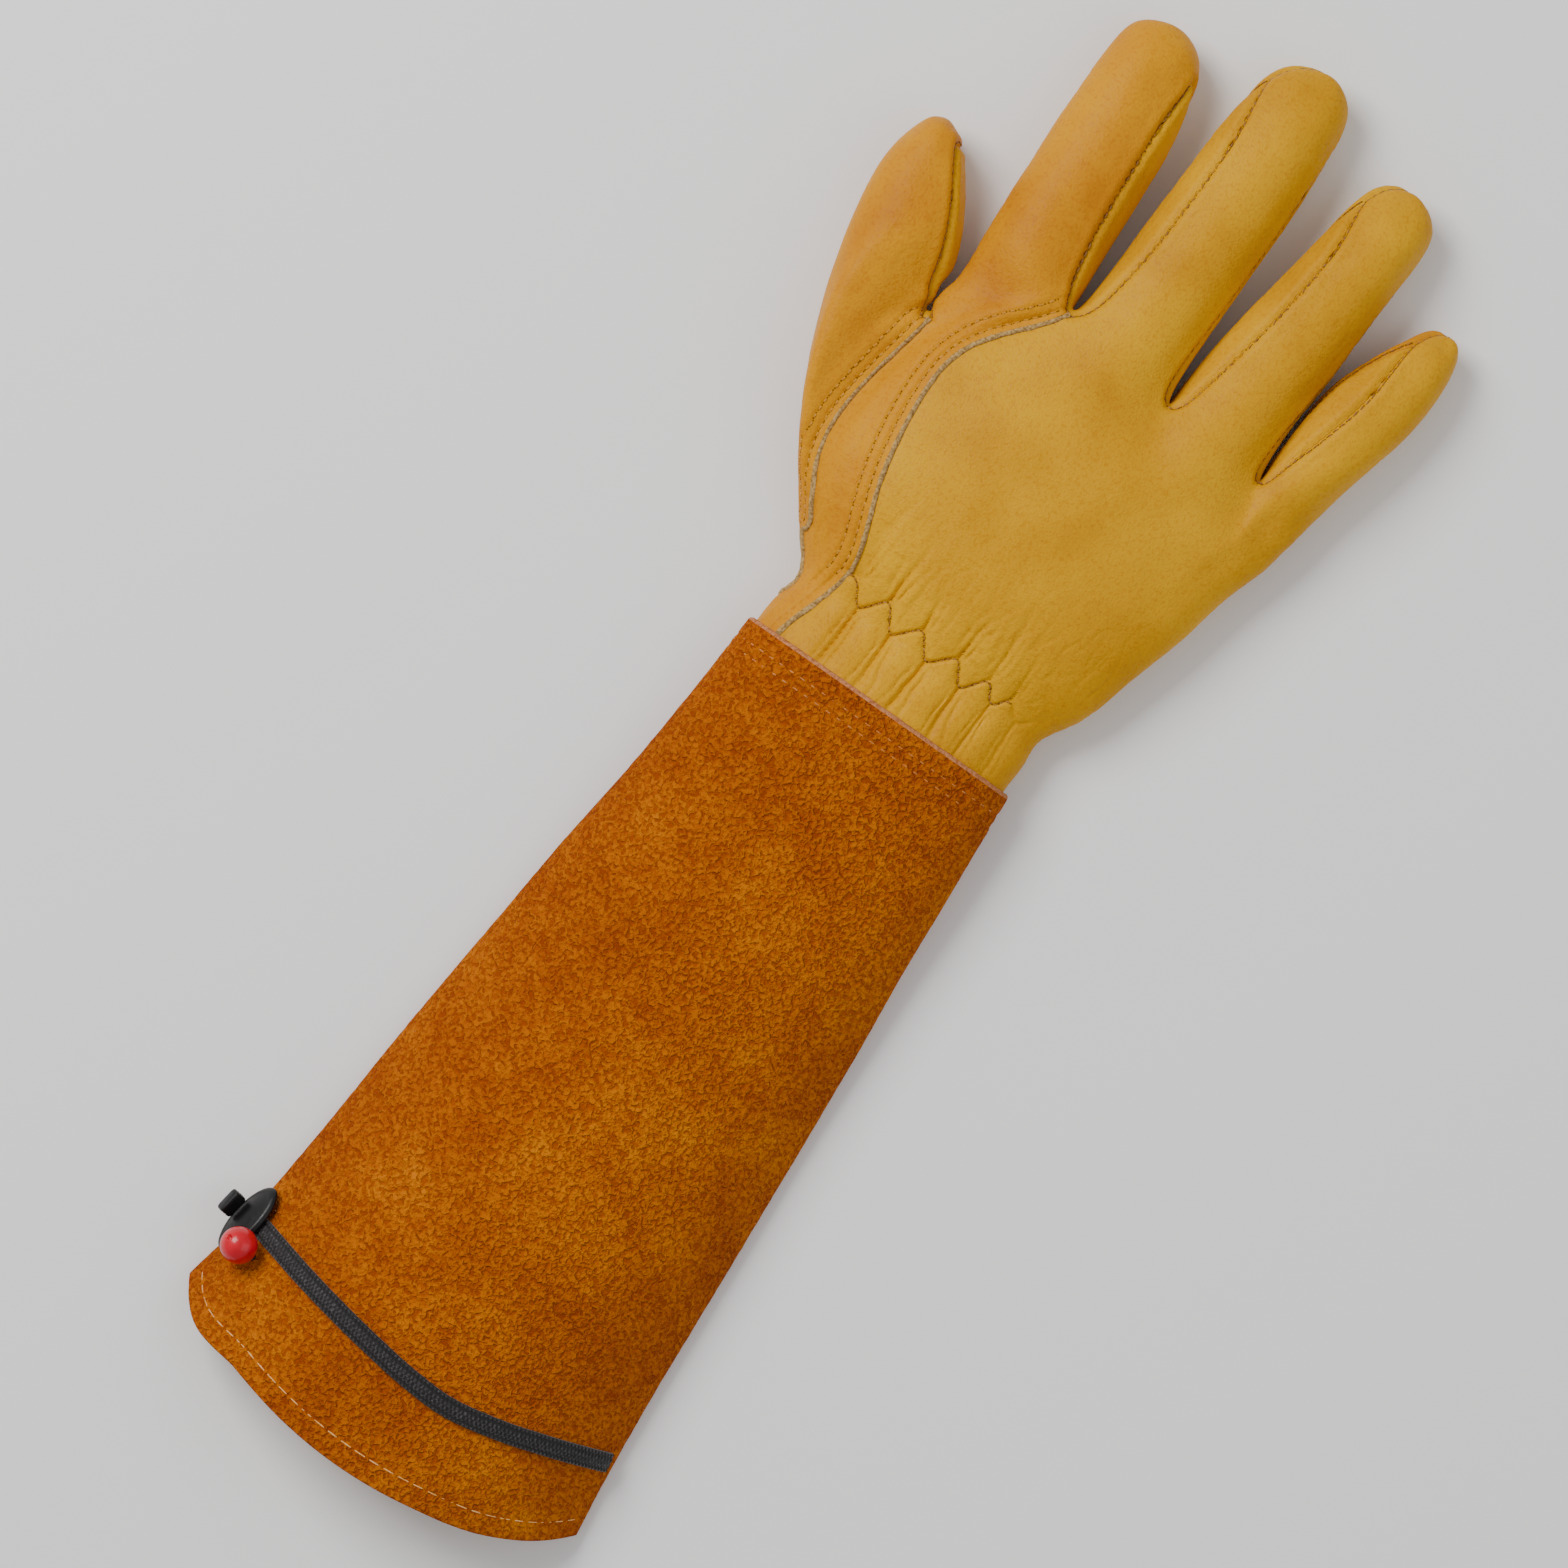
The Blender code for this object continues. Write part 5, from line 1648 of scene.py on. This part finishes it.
def cuff_row(from_wrist, from_mouth, pitch, upper, cover):
    """One row of stitches round the cuff's top or floor, at a distance from one of its ends."""
    line = []
    for share in np.linspace(-0.97, 0.97, 200):
        end = table_value(MOUTH_EDGE, share, 1) * CUFF_LENGTH
        along = 1 - from_mouth / end if from_mouth else from_wrist / end
        line.append(cuff_place(share, upper, along, 0.0))
    places = even_points(line, pitch)
    relief = cuff_relief(places)
    rows = []
    for i in range(len(places) - 1):
        ahead = places[i + 1] - places[i]
        normal = unit(np.cross(ahead, (0.0, 1.0, 0.0)))
        if (normal[2] < 0) == upper:
            normal = -normal
        if not upper:
            rows.append((*covered(places[i], places[i + 1], FLOOR_COVER), normal, 0.0))
            continue
        start, end = covered(places[i], places[i + 1], cover)
        start += normal * (relief[i] - STITCH_SINK)
        end += normal * (relief[i + 1] - STITCH_SINK)
        rows.append((start, end, normal, 0.02 + 0.14 * math.sin(i * 1.9)))
    return rows


# Palm patch, strap, slider and bead

def build_patch(skin, origin):
    """The suede patch under the palm."""
    points = [Vector(p) for p in skin.base]
    quads = [tuple(map(int, quad)) for quad in skin.quads]
    sheet = BVHTree.FromPolygons(points, quads)
    columns, rows = PATCH_STEPS
    start, end = PATCH_SHAPE[0][0], PATCH_SHAPE[-1][0]
    upper = []
    lower = []
    for i in range(columns + 1):
        across = start + (end - start) * i / columns
        low = table_value(PATCH_SHAPE, across, 1)
        high = table_value(PATCH_SHAPE, across, 2)
        for j in range(rows + 1):
            x = across * PALM_WIDTH
            y = (low + (high - low) * j / rows) * HAND_LENGTH
            place, normal, _, _ = sheet.ray_cast(Vector((x, y, RAYS_BELOW)), Vector((0, 0, 1)))
            flat = np.array(normal if normal.z < 0 else -normal)
            inside = min(i, columns - i, j * 2, (rows - j) * 2) / 5
            press = PATCH_PRESS * (1 - min(inside, 1.0))
            nap = PATCH_NAP * noise.noise(Vector((x / 1.6, y / 2.4, 2.0)))
            upper.append(np.array(place) + flat * PATCH_GAP)
            lower.append(np.array(place) + flat * (PATCH_GAP + PATCH_LEATHER - press + nap))
    count = len(upper)
    wide = rows + 1
    own = []
    for i in range(columns):
        for j in range(rows):
            a = i * wide + j
            own.append((a, a + 1, a + wide + 1, a + wide))
    faces = [quad[::-1] for quad in own] + [tuple(c + count for c in quad) for quad in own]
    sides = [2] * len(own) + [0] * len(own)
    for a, b in seam_rims(np.array(own)):
        faces.append((a, b, b + count, a + count))
        sides.append(1)
    return make_piece("palm_patch_suede", upper + lower, faces, origin, sides), lower


def strap_rows(steps):
    """The strap's centre points and their normals, over the cuff's waves."""
    start, end = STRAP_LINE[0][0], STRAP_LINE[-1][0]
    rows = []
    for across in np.linspace(start, end, steps):
        along = table_value(STRAP_LINE, across, 1)
        rows.append(cuff_top_point(across, along, STRAP_REST))
    relief = cuff_relief(np.array([row[0] for row in rows]))
    return [(centre + normal * rise, normal) for (centre, normal), rise in zip(rows, relief)]


def build_strap(origin):
    """Woven webbing: lengthwise lanes of ribs that alternate, with rolled edges."""
    rows = strap_rows(STRAP_STEPS)
    centres = np.array([row[0] for row in rows])
    ahead = np.gradient(centres, axis=0)
    length = np.concatenate([[0.0], np.cumsum(np.linalg.norm(np.diff(centres, axis=0), axis=1))])
    points = []
    crowns = []
    for i, (centre, normal) in enumerate(rows):
        side = unit(np.cross(normal, ahead[i]))
        for c, s in circle(STRAP_SIDES):
            flat = boxed(c, STRAP_POWER) * STRAP_WIDTH / 2
            thick = boxed(s, STRAP_POWER) * STRAP_THICKNESS / 2
            lane = (flat / STRAP_WIDTH + 0.5) * WEAVE_LANES
            phase = length[i] / WEAVE_RIB + 0.5 * (int(lane) % 2) + 0.25 * (lane % 1.0)
            crown = abs(math.sin(math.pi * phase)) * math.sin(math.pi * (lane % 1.0))
            crowns.append(crown if s > 0.05 else 0.0)
            rise = thick + RIB_RISE * (crown - 0.6) * (1 if s > 0.05 else 0)
            points.append(centre + side * flat + normal * (STRAP_THICKNESS / 2 + rise))
    faces = turned_over(ring_faces(0, len(rows), STRAP_SIDES))
    # Faces on the upper ribs' crowns get the lighter material, a painted highlight
    sides = [1 if crowns[face[0]] > CROWN_HIGHLIGHT_FROM else 0 for face in faces]
    faces += [face[::-1] for face in ring_ends(0, len(rows), STRAP_SIDES)]
    return make_piece("strap_webbing", points, faces, origin, sides + [0, 0])


def plate_frame():
    """The slider plate's centre and its directions: along, down the slope and out."""
    across, along = PLATE_CENTRE
    lift = PIECE_GAP + 0.1 + STRAP_THICKNESS + PIECE_GAP
    centre, out = cuff_top_point(across, along, lift + PLATE_THICKNESS / 2)
    turned = math.radians(PLATE_TURN)
    forward = np.array((-math.sin(turned), -math.cos(turned), 0.0))
    forward = unit(forward - out * (forward @ out))
    return centre, forward, unit(np.cross(forward, out)), out


def build_plate(origin):
    """The slider's oval plate: dished, with a rounded rim and a raised lip."""
    centre, forward, down, out = plate_frame()
    profile = []
    for radius in np.linspace(0.06, 0.93, 14):
        lip = 0.25 * bell(radius - 0.86, 0.06)
        profile.append((radius, PLATE_THICKNESS / 2 + lip))
    for angle in np.linspace(60, -60, 7):
        turned = math.radians(angle)
        profile.append((0.94 + 0.06 * math.cos(turned), PLATE_THICKNESS / 2 * math.sin(turned)))
    for radius in np.linspace(0.93, 0.06, 10):
        profile.append((radius, -PLATE_THICKNESS / 2))
    points = []
    for radius, height in profile:
        for c, s in circle(PLATE_SIDES):
            place = centre + forward * c * radius * PLATE_LENGTH / 2 + down * s * radius * PLATE_WIDTH / 2
            points.append(place + out * (PLATE_BULGE * (1 - radius**2) + height))
    return lofted("slider_plate_moulding", points, PLATE_SIDES, origin)


def lofted(name, points, around, origin):
    """A closed piece from rings of points, with both ends filled."""
    rings = len(points) // around
    faces = ring_faces(0, rings, around) + ring_ends(0, rings, around)
    return make_piece(name, points, faces, origin)


def build_block(origin):
    """The slider's block: a small moulded block with rounded edges and grip ribs."""
    centre, forward, down, out = plate_frame()
    shift = PLATE_WIDTH / 2 - BLOCK_WIDTH / 4
    near = max(shift - BLOCK_WIDTH / 2, 0.0) / (PLATE_WIDTH / 2)
    height = PLATE_THICKNESS / 2 + PLATE_BULGE * (1 - near**2) + PIECE_GAP
    place = centre + out * height + down * shift
    points = []
    for level, wide in BLOCK_PROFILE:
        for c, s in circle(BLOCK_SIDES):
            a = boxed(c, BLOCK_POWER) * wide * BLOCK_LENGTH / 2
            b = boxed(s, BLOCK_POWER) * wide * BLOCK_WIDTH / 2
            points.append(place + forward * a + down * b + out * level * BLOCK_HEIGHT)
    return lofted("slider_block_moulding", points, BLOCK_SIDES, origin)


def bead_frame():
    """The bead's centre, over its cord, and its directions: aside, above and out of the cuff."""
    centre, out = cuff_top_point(*BEAD_CENTRE, BEAD_DIAMETER / 2 + CORD_LENGTH + 2 * PIECE_GAP)
    aside = unit(np.cross(out, np.array((0.0, 1.0, 0.0))))
    return centre, aside, unit(np.cross(aside, out)), out


def build_bead(origin):
    """A turned round bead with a small hole at the top."""
    centre, aside, above, out = bead_frame()
    radius = BEAD_DIAMETER / 2
    profile = [(0.0005, -1.0)]
    profile += [(math.sin(t), -math.cos(t)) for t in np.linspace(0.06, math.pi - 0.2, 44)]
    points = []
    for wide, high in profile + list(BEAD_HOLE):
        for c, s in circle(BEAD_SIDES):
            points.append(centre + (aside * c + above * s) * wide * radius + out * high * radius)
    return lofted("bead_round", points, BEAD_SIDES, origin)


def build_cord(origin):
    """The bead's short twisted cord."""
    centre, aside, above, out = bead_frame()
    last = centre - out * (BEAD_DIAMETER / 2 + 0.05)
    first = last - out * (CORD_LENGTH + 2 * PIECE_GAP - 0.1)
    points = []
    for share in np.linspace(0, 1, CORD_STEPS):
        middle = first + (last - first) * share
        for j, (c, s) in enumerate(circle(CORD_SIDES)):
            twist = 1 + 0.10 * math.cos(6 * math.pi * j / CORD_SIDES + share * 9)
            points.append(middle + (aside * c + above * s) * twist * CORD_DIAMETER / 2)
    return lofted("bead_cord_twist", points, CORD_SIDES, origin)


# Materials

def linear(hex_colour):
    """An sRGB hex colour as linear RGBA."""
    parts = [int(hex_colour[i : i + 2], 16) / 255 for i in (1, 3, 5)]
    linears = [p / 12.92 if p <= 0.04045 else ((p + 0.055) / 1.055) ** 2.4 for p in parts]
    return (*linears, 1.0)


def node(material, kind, settings, links=None, output=0):
    """Add a node with its settings and the links that feed it, and give back one of its outputs."""
    tree = material.node_tree
    made = tree.nodes.new("ShaderNode" + kind)
    for name, value in settings.items():
        if name == "stops":
            fill_ramp(made.color_ramp.elements, value)
        elif isinstance(name, str) and hasattr(made, name):
            setattr(made, name, value)
        else:
            made.inputs[name].default_value = value
    for name, source in (links or {}).items():
        tree.links.new(source, made.inputs[name])
    return made.outputs[output]


def fill_ramp(elements, stops):
    """Set a ramp's colours by value, from (place, hex colour) stops."""
    while len(elements) < len(stops):
        elements.new(0.5)
    for element, (place, colour) in zip(elements, stops):
        element.position = place
        element.color = linear(colour)


def new_material(name, settings):
    """A Principled material with constants on its shader."""
    material = bpy.data.materials.new(name)
    material.use_nodes = True
    shader = material.node_tree.nodes["Principled BSDF"]
    for key, value in settings.items():
        shader.inputs[key].default_value = value
    return material


def feed(material, sources):
    """Link sources to the shader's inputs."""
    tree = material.node_tree
    for name, source in sources.items():
        tree.links.new(source, tree.nodes["Principled BSDF"].inputs[name])
    return material


def per_mm(size):
    """The scale of a pattern whose features are this many millimetres across."""
    return 1.0 / (size * MM)


def pattern(size, detail, distortion=0.0):
    """Settings of a noise with features of a size in millimetres."""
    return {"Scale": per_mm(size), "Detail": detail, "Distortion": distortion}


def spans(low, high, from_low, to_high):
    """Settings that map one range of values to another."""
    return {1: low, 2: high, 3: from_low, 4: to_high}


def bump_of(strength, depth):
    """Settings of a bump whose depth is in millimetres."""
    return {"Strength": strength, "Distance": depth * MM}


def fibrous(name, settings, texture, stops, bump=None):
    """A material whose one noise, of fibres or plies, gives its colour and its relief."""
    material = new_material(name, settings)
    place = node(material, "TexCoord", {}, None, "Object")
    fibres = node(material, "TexNoise", texture, {"Vector": place})
    sources = {"Base Color": node(material, "ValToRGB", {"stops": stops}, {"Fac": fibres})}
    if bump:
        sources["Normal"] = node(material, "Bump", bump, {"Height": fibres})
    return feed(material, sources)


def drum_dyed_grain(name, light, middle, dark):
    """Goatskin, drum dyed with its grain side out: fine pebbles, satin sheen, slow colour mottling."""
    material = new_material(name, {"IOR": 1.46, "Specular IOR Level": 0.11})
    place = node(material, "TexCoord", {}, None, "Object")
    mottle = node(material, "TexNoise", pattern(30.0, 3.0), {"Vector": place})
    stops = ((0.30, dark), (0.50, middle), (0.72, light))
    dye = node(material, "ValToRGB", {"stops": stops}, {"Fac": mottle})
    pores = node(material, "TexVoronoi", {"Scale": per_mm(0.8)}, {"Vector": place})
    pebbles = node(material, "MapRange", spans(0.10, 0.60, 1.0, 0.0), {0: pores})
    specks = node(material, "TexNoise", pattern(1.1, 4.0), {"Vector": place})
    stops = ((0.34, "#E0BE90"), (0.50, "#FFFFFF"))
    fleck = node(material, "ValToRGB", {"stops": stops}, {"Fac": specks})
    colour = node(material, "Mix", {**MULTIPLY, 0: 0.35}, {6: dye, 7: fleck}, 2)
    drawn = node(material, "Mapping", {"Scale": (0.6, 1.4, 1.0)}, {"Vector": place})
    lines = node(material, "TexNoise", pattern(2.6, 5.0, 0.6), {"Vector": drawn})
    height = node(material, "Math", {"operation": "MULTIPLY_ADD", 1: 0.45}, {0: pebbles, 2: lines})
    bump = node(material, "Bump", bump_of(0.85, 0.18), {"Height": height})
    rough = node(material, "MapRange", spans(0.3, 0.7, 0.38, 0.52), {0: specks})
    return feed(material, {"Base Color": colour, "Roughness": rough, "Normal": bump})


def napped_split(name):
    """Cowhide split, buffed to a nap and dyed: packed wormlike crinkles with painted shade in their furrows,
    matt, blotched where brushed.
    """
    settings = {"Roughness": 0.90, "IOR": 1.45, "Specular IOR Level": 0.12}
    material = new_material(name, settings)
    place = node(material, "TexCoord", {}, None, "Object")
    blotch = node(material, "TexNoise", pattern(38.0, 4.0, 0.3), {"Vector": place})
    stops = ((0.28, "#AA5600"), (0.45, "#B45E00"), (0.60, "#BE6800"), (0.76, "#CA7600"))
    broad = node(material, "ValToRGB", {"stops": stops}, {"Fac": blotch})
    swirl = node(material, "TexNoise", pattern(CRINKLE_CELL, 1.2, 0.7), {"Vector": place})
    ridges = node(material, "MapRange", spans(0.33, 0.66, 0.0, 1.0), {0: swirl})
    # Painted shade: the crinkles' furrows are darkened in colour, and their crowns keep the suede's own
    # colour
    stops = ((0.0, "#B88452"), (0.35, "#E0C49C"), (0.75, "#FFFFFF"))
    painted_furrow_shade = node(material, "ValToRGB", {"stops": stops}, {"Fac": ridges})
    furrow_shaded_colour = node(material, "Mix", {**MULTIPLY, 0: 0.75}, {6: broad, 7: painted_furrow_shade}, 2)
    patches = node(material, "TexNoise", pattern(8.0, 4.0), {"Vector": place})
    stops = ((0.35, "#E6CDB0"), (0.58, "#FFFFFF"))
    wear = node(material, "ValToRGB", {"stops": stops}, {"Fac": patches})
    colour = node(material, "Mix", {**MULTIPLY, 0: 0.50}, {6: furrow_shaded_colour, 7: wear}, 2)
    fine = node(material, "TexNoise", pattern(0.6, 2.0, 0.5), {"Vector": place})
    height = node(material, "Math", {"operation": "MULTIPLY_ADD", 1: 0.3}, {0: fine, 2: ridges})
    bump = node(material, "Bump", bump_of(1.0, 0.70), {"Height": height})
    return feed(material, {"Base Color": colour, "Normal": bump})


def painted_hole_shade(name):
    """The dark inside of a needle hole, painted as shade on a small disc, with a fibrous noise in its brown.
    """
    settings = {"Roughness": 1.0, "IOR": 1.45, "Specular IOR Level": 0.0}
    return fibrous(name, settings, pattern(0.7, 2.0), ((0.35, "#6A4208"), (0.65, "#966414")))


def cut_leather_edge(name, light, dark):
    """A knife-cut leather edge, undyed inside: pale, fibrous and dull."""
    settings = {"Roughness": 0.95, "IOR": 1.45, "Specular IOR Level": 0.1}
    return fibrous(name, settings, pattern(0.8, 4.0), ((0.35, dark), (0.62, light)), bump_of(0.6, 0.2))


def flesh_side(name):
    """The leather's unlined flesh side: soft, pale and slightly hairy."""
    settings = {"Roughness": 0.95, "IOR": 1.45, "Specular IOR Level": 0.1, "Sheen Weight": 0.3}
    stops = ((0.35, "#B98334"), (0.65, "#D9A451"))
    return fibrous(name, settings, pattern(1.6, 5.0, 0.6), stops, bump_of(0.6, 0.3))


def spun_thread(name, light, dark):
    """Spun polyester thread: plies that show as fine slanted bands, with a soft shine."""
    settings = {"Roughness": 0.55, "IOR": 1.5, "Sheen Weight": 0.2}
    return fibrous(name, settings, pattern(0.5, 2.0), ((0.35, dark), (0.65, light)), bump_of(0.5, 0.08))


def woven_polypropylene(name, dark, middle, light):
    """Narrow webbing woven from dull black polypropylene yarn; the lighter copy on the upper ribs' crowns is
    a painted highlight.
    """
    settings = {"Roughness": 0.72, "IOR": 1.49, "Specular IOR Level": 0.3, "Sheen Weight": 0.25}
    material = new_material(name, settings)
    place = node(material, "TexCoord", {}, None, "Object")
    yarns = node(material, "TexNoise", pattern(0.7, 3.0), {"Vector": place})
    stops = ((0.40, dark), (0.56, middle), (0.72, light))
    colour = node(material, "ValToRGB", {"stops": stops}, {"Fac": yarns})
    fuzz = node(material, "TexNoise", pattern(0.4, 3.0), {"Vector": place})
    bump = node(material, "Bump", bump_of(0.8, 0.15), {"Height": fuzz})
    return feed(material, {"Base Color": colour, "Normal": bump})


def moulded_acetal(name):
    """Injection-moulded black acetal: satin, faintly uneven gloss from the tool's finish."""
    settings = {"Base Color": linear("#0D0C0D"), "IOR": 1.48, "Specular IOR Level": 0.35}
    material = new_material(name, settings)
    place = node(material, "TexCoord", {}, None, "Object")
    tool_marks = node(material, "TexNoise", pattern(1.2, 3.0), {"Vector": place})
    rough = node(material, "MapRange", spans(0.3, 0.7, 0.30, 0.46), {0: tool_marks})
    bump = node(material, "Bump", bump_of(0.25, 0.05), {"Height": tool_marks})
    return feed(material, {"Roughness": rough, "Normal": bump})


def lacquered_bead(name):
    """A red moulded bead under clear lacquer: sharp highlights over a deep, even red."""
    settings = {"Roughness": 0.30, "IOR": 1.5, "Specular IOR Level": 0.3}
    settings |= {"Coat Weight": 0.3, "Coat Roughness": 0.04}
    return fibrous(name, settings, pattern(5.0, 2.0), ((0.3, "#B20016"), (0.7, "#D00824")))


def painted_board(name):
    """The studio's floor: a matt white board."""
    settings = {"Roughness": 0.9, "Base Color": (0.92, 0.92, 0.92, 1.0), "Specular IOR Level": 0.1}
    return new_material(name, settings)


# Studio

def add_area(name, place, size, power, colour):
    """A soft square light that faces the glove."""
    light = bpy.data.lights.new(name, "AREA")
    light.shape = "SQUARE"
    light.size = size
    light.energy = power
    light.color = colour
    lamp = bpy.data.objects.new(name, light)
    lamp.location = place
    lamp.rotation_euler = (-place).to_track_quat("-Z", "Y").to_euler()
    bpy.context.scene.collection.objects.link(lamp)


def build_studio(origin):
    """White floor, soft lights and the camera that looks straight down as the photograph does."""
    scene = bpy.context.scene
    bpy.ops.mesh.primitive_plane_add(size=FLOOR_SIZE, location=(0.0, 0.0, -FLOOR_DROP))
    floor = bpy.context.object
    floor.name = "studio_floor"
    floor.data.materials.append(painted_board("matt_white_board"))
    world = bpy.data.worlds.new("studio_world")
    world.use_nodes = True
    background = world.node_tree.nodes["Background"]
    background.inputs["Color"].default_value = (1.0, 1.0, 1.0, 1.0)
    background.inputs["Strength"].default_value = SKY_STRENGTH
    scene.world = world
    lean = math.radians(PHOTO_LEAN)
    up = Vector((-math.sin(lean), math.cos(lean), 0.0))
    right = Vector((math.cos(lean), math.sin(lean), 0.0))
    for name, upward, rightward, height, size, power, colour in LIGHTS:
        place = up * upward + right * rightward + Vector((0, 0, height))
        add_area(name, place, size, power, colour)
    camera = bpy.data.cameras.new("photo_camera")
    camera.sensor_width = SENSOR_WIDTH
    camera.lens = SENSOR_WIDTH * (CAMERA_HEIGHT - WRIST_HEIGHT / 2) / PHOTO_WIDTH
    camera.clip_end = VIEW_DEPTH
    eye = bpy.data.objects.new("photo_camera", camera)
    centre = np.array((*PHOTO_CENTRE, 0.0)) + origin
    eye.location = (centre[0] * MM, centre[1] * MM, CAMERA_HEIGHT * MM)
    eye.rotation_euler = (0.0, 0.0, lean)
    scene.collection.objects.link(eye)
    scene.camera = eye


def pattern_origin():
    """Where the pattern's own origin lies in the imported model, from the cuff's box."""
    low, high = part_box("cuff")
    rows = cuff_skin(np.linspace(0, 1, 24), 0.0, 22, 11).reshape(-1, 3)
    middle = (rows.min(axis=0) + rows.max(axis=0)) / 2
    centre = (np.array(low) + np.array(high)) / 2 / MM
    return np.array((centre[0] - middle[0], low[1] / MM + CUFF_LENGTH, 0.0))


def main():
    origin = pattern_origin()
    build_studio(origin)
    back_grain = drum_dyed_grain("goatskin_grain_back", "#D8A000", "#CE9400", "#C08400")
    wrap_grain = drum_dyed_grain("goatskin_grain_wrap", "#D49200", "#CA8600", "#BA7200")
    palm_grain = drum_dyed_grain("goatskin_grain_palm", "#DCA800", "#D29A00", "#C48800")
    suede = napped_split("buffed_cowhide_split")
    raw_edge = cut_leather_edge("cut_goatskin_edge", "#BC9A62", "#846438")
    suede_edge = cut_leather_edge("cut_split_edge", "#BE8058", "#9A5C34")
    flesh = flesh_side("goatskin_flesh_side")
    split_flesh = flesh_side("split_inner_side")
    cream = spun_thread("spun_polyester_cream", "#F0BC74", "#D8963C")
    orange = spun_thread("spun_polyester_orange", "#CC7C22", "#A65E12")
    brown = spun_thread("spun_polyester_brown", "#94600C", "#6E4006")
    mustard = spun_thread("spun_polyester_mustard", "#B07C14", "#84560A")
    amber = spun_thread("spun_polyester_amber", "#CE9008", "#B07404")
    # Dark brown discs at the needle holes: painted shade of the holes
    holes = painted_hole_shade("needle_hole_painted_shade")
    webbing = woven_polypropylene("woven_black_polypropylene", "#0A0808", "#141112", "#221E20")
    # Lighter grey copy of the webbing for the ribs' crowns: painted highlight
    ribs = woven_polypropylene("woven_black_polypropylene_crown_highlight", "#262324", "#3A3638", "#565254")
    plastic = moulded_acetal("moulded_black_acetal")
    lacquer = lacquered_bead("lacquered_red_bead")

    skin = HandSkin()
    grains = {PALM: wrap_grain, FRONTS: palm_grain, THUMB: wrap_grain}
    for panel, name in enumerate(PANEL_NAMES):
        grain = grains.get(panel, back_grain)
        finish_piece(build_panel(skin, panel, origin), "grain_leather", [name], grain, flesh, raw_edge)
    finish_piece(build_cut_edges(skin, origin), "grain_leather", [], raw_edge)
    seams, laps, needle_holes = build_hand_stitches(skin, origin)
    zigzag, zigzag_holes = build_zigzag(skin, origin)
    palm_rows, palm_holes = build_palm_stitches(skin, origin)
    threads = ((seams, brown), (laps, amber), (zigzag, mustard), (palm_rows, cream))
    threads += tuple((piece, holes) for piece in (needle_holes, zigzag_holes, palm_holes))
    for piece, thread in threads:
        finish_piece(piece, "grain_leather", [], thread)

    patch, patch_face = build_patch(skin, origin)
    finish_piece(patch, "suede", ["palm_patch"], suede, suede_edge, split_flesh)
    finish_piece(build_patch_stitches(patch_face, origin), "suede", [], cream)
    finish_piece(build_cuff(origin), "suede", ["cuff"], suede, suede_edge, split_flesh)
    for piece, thread in zip(build_cuff_stitches(origin), (orange, cream)):
        finish_piece(piece, "suede", [], thread)
    finish_piece(build_strap(origin), "webbing", ["strap"], webbing, ribs)
    finish_piece(build_plate(origin), "dark_plastic", ["slider_plate"], plastic)
    finish_piece(build_block(origin), "dark_plastic", ["slider_block"], plastic)
    finish_piece(build_bead(origin), "red_bead", ["bead"], lacquer)
    finish_piece(build_cord(origin), "webbing", ["bead_cord"], webbing)


main()
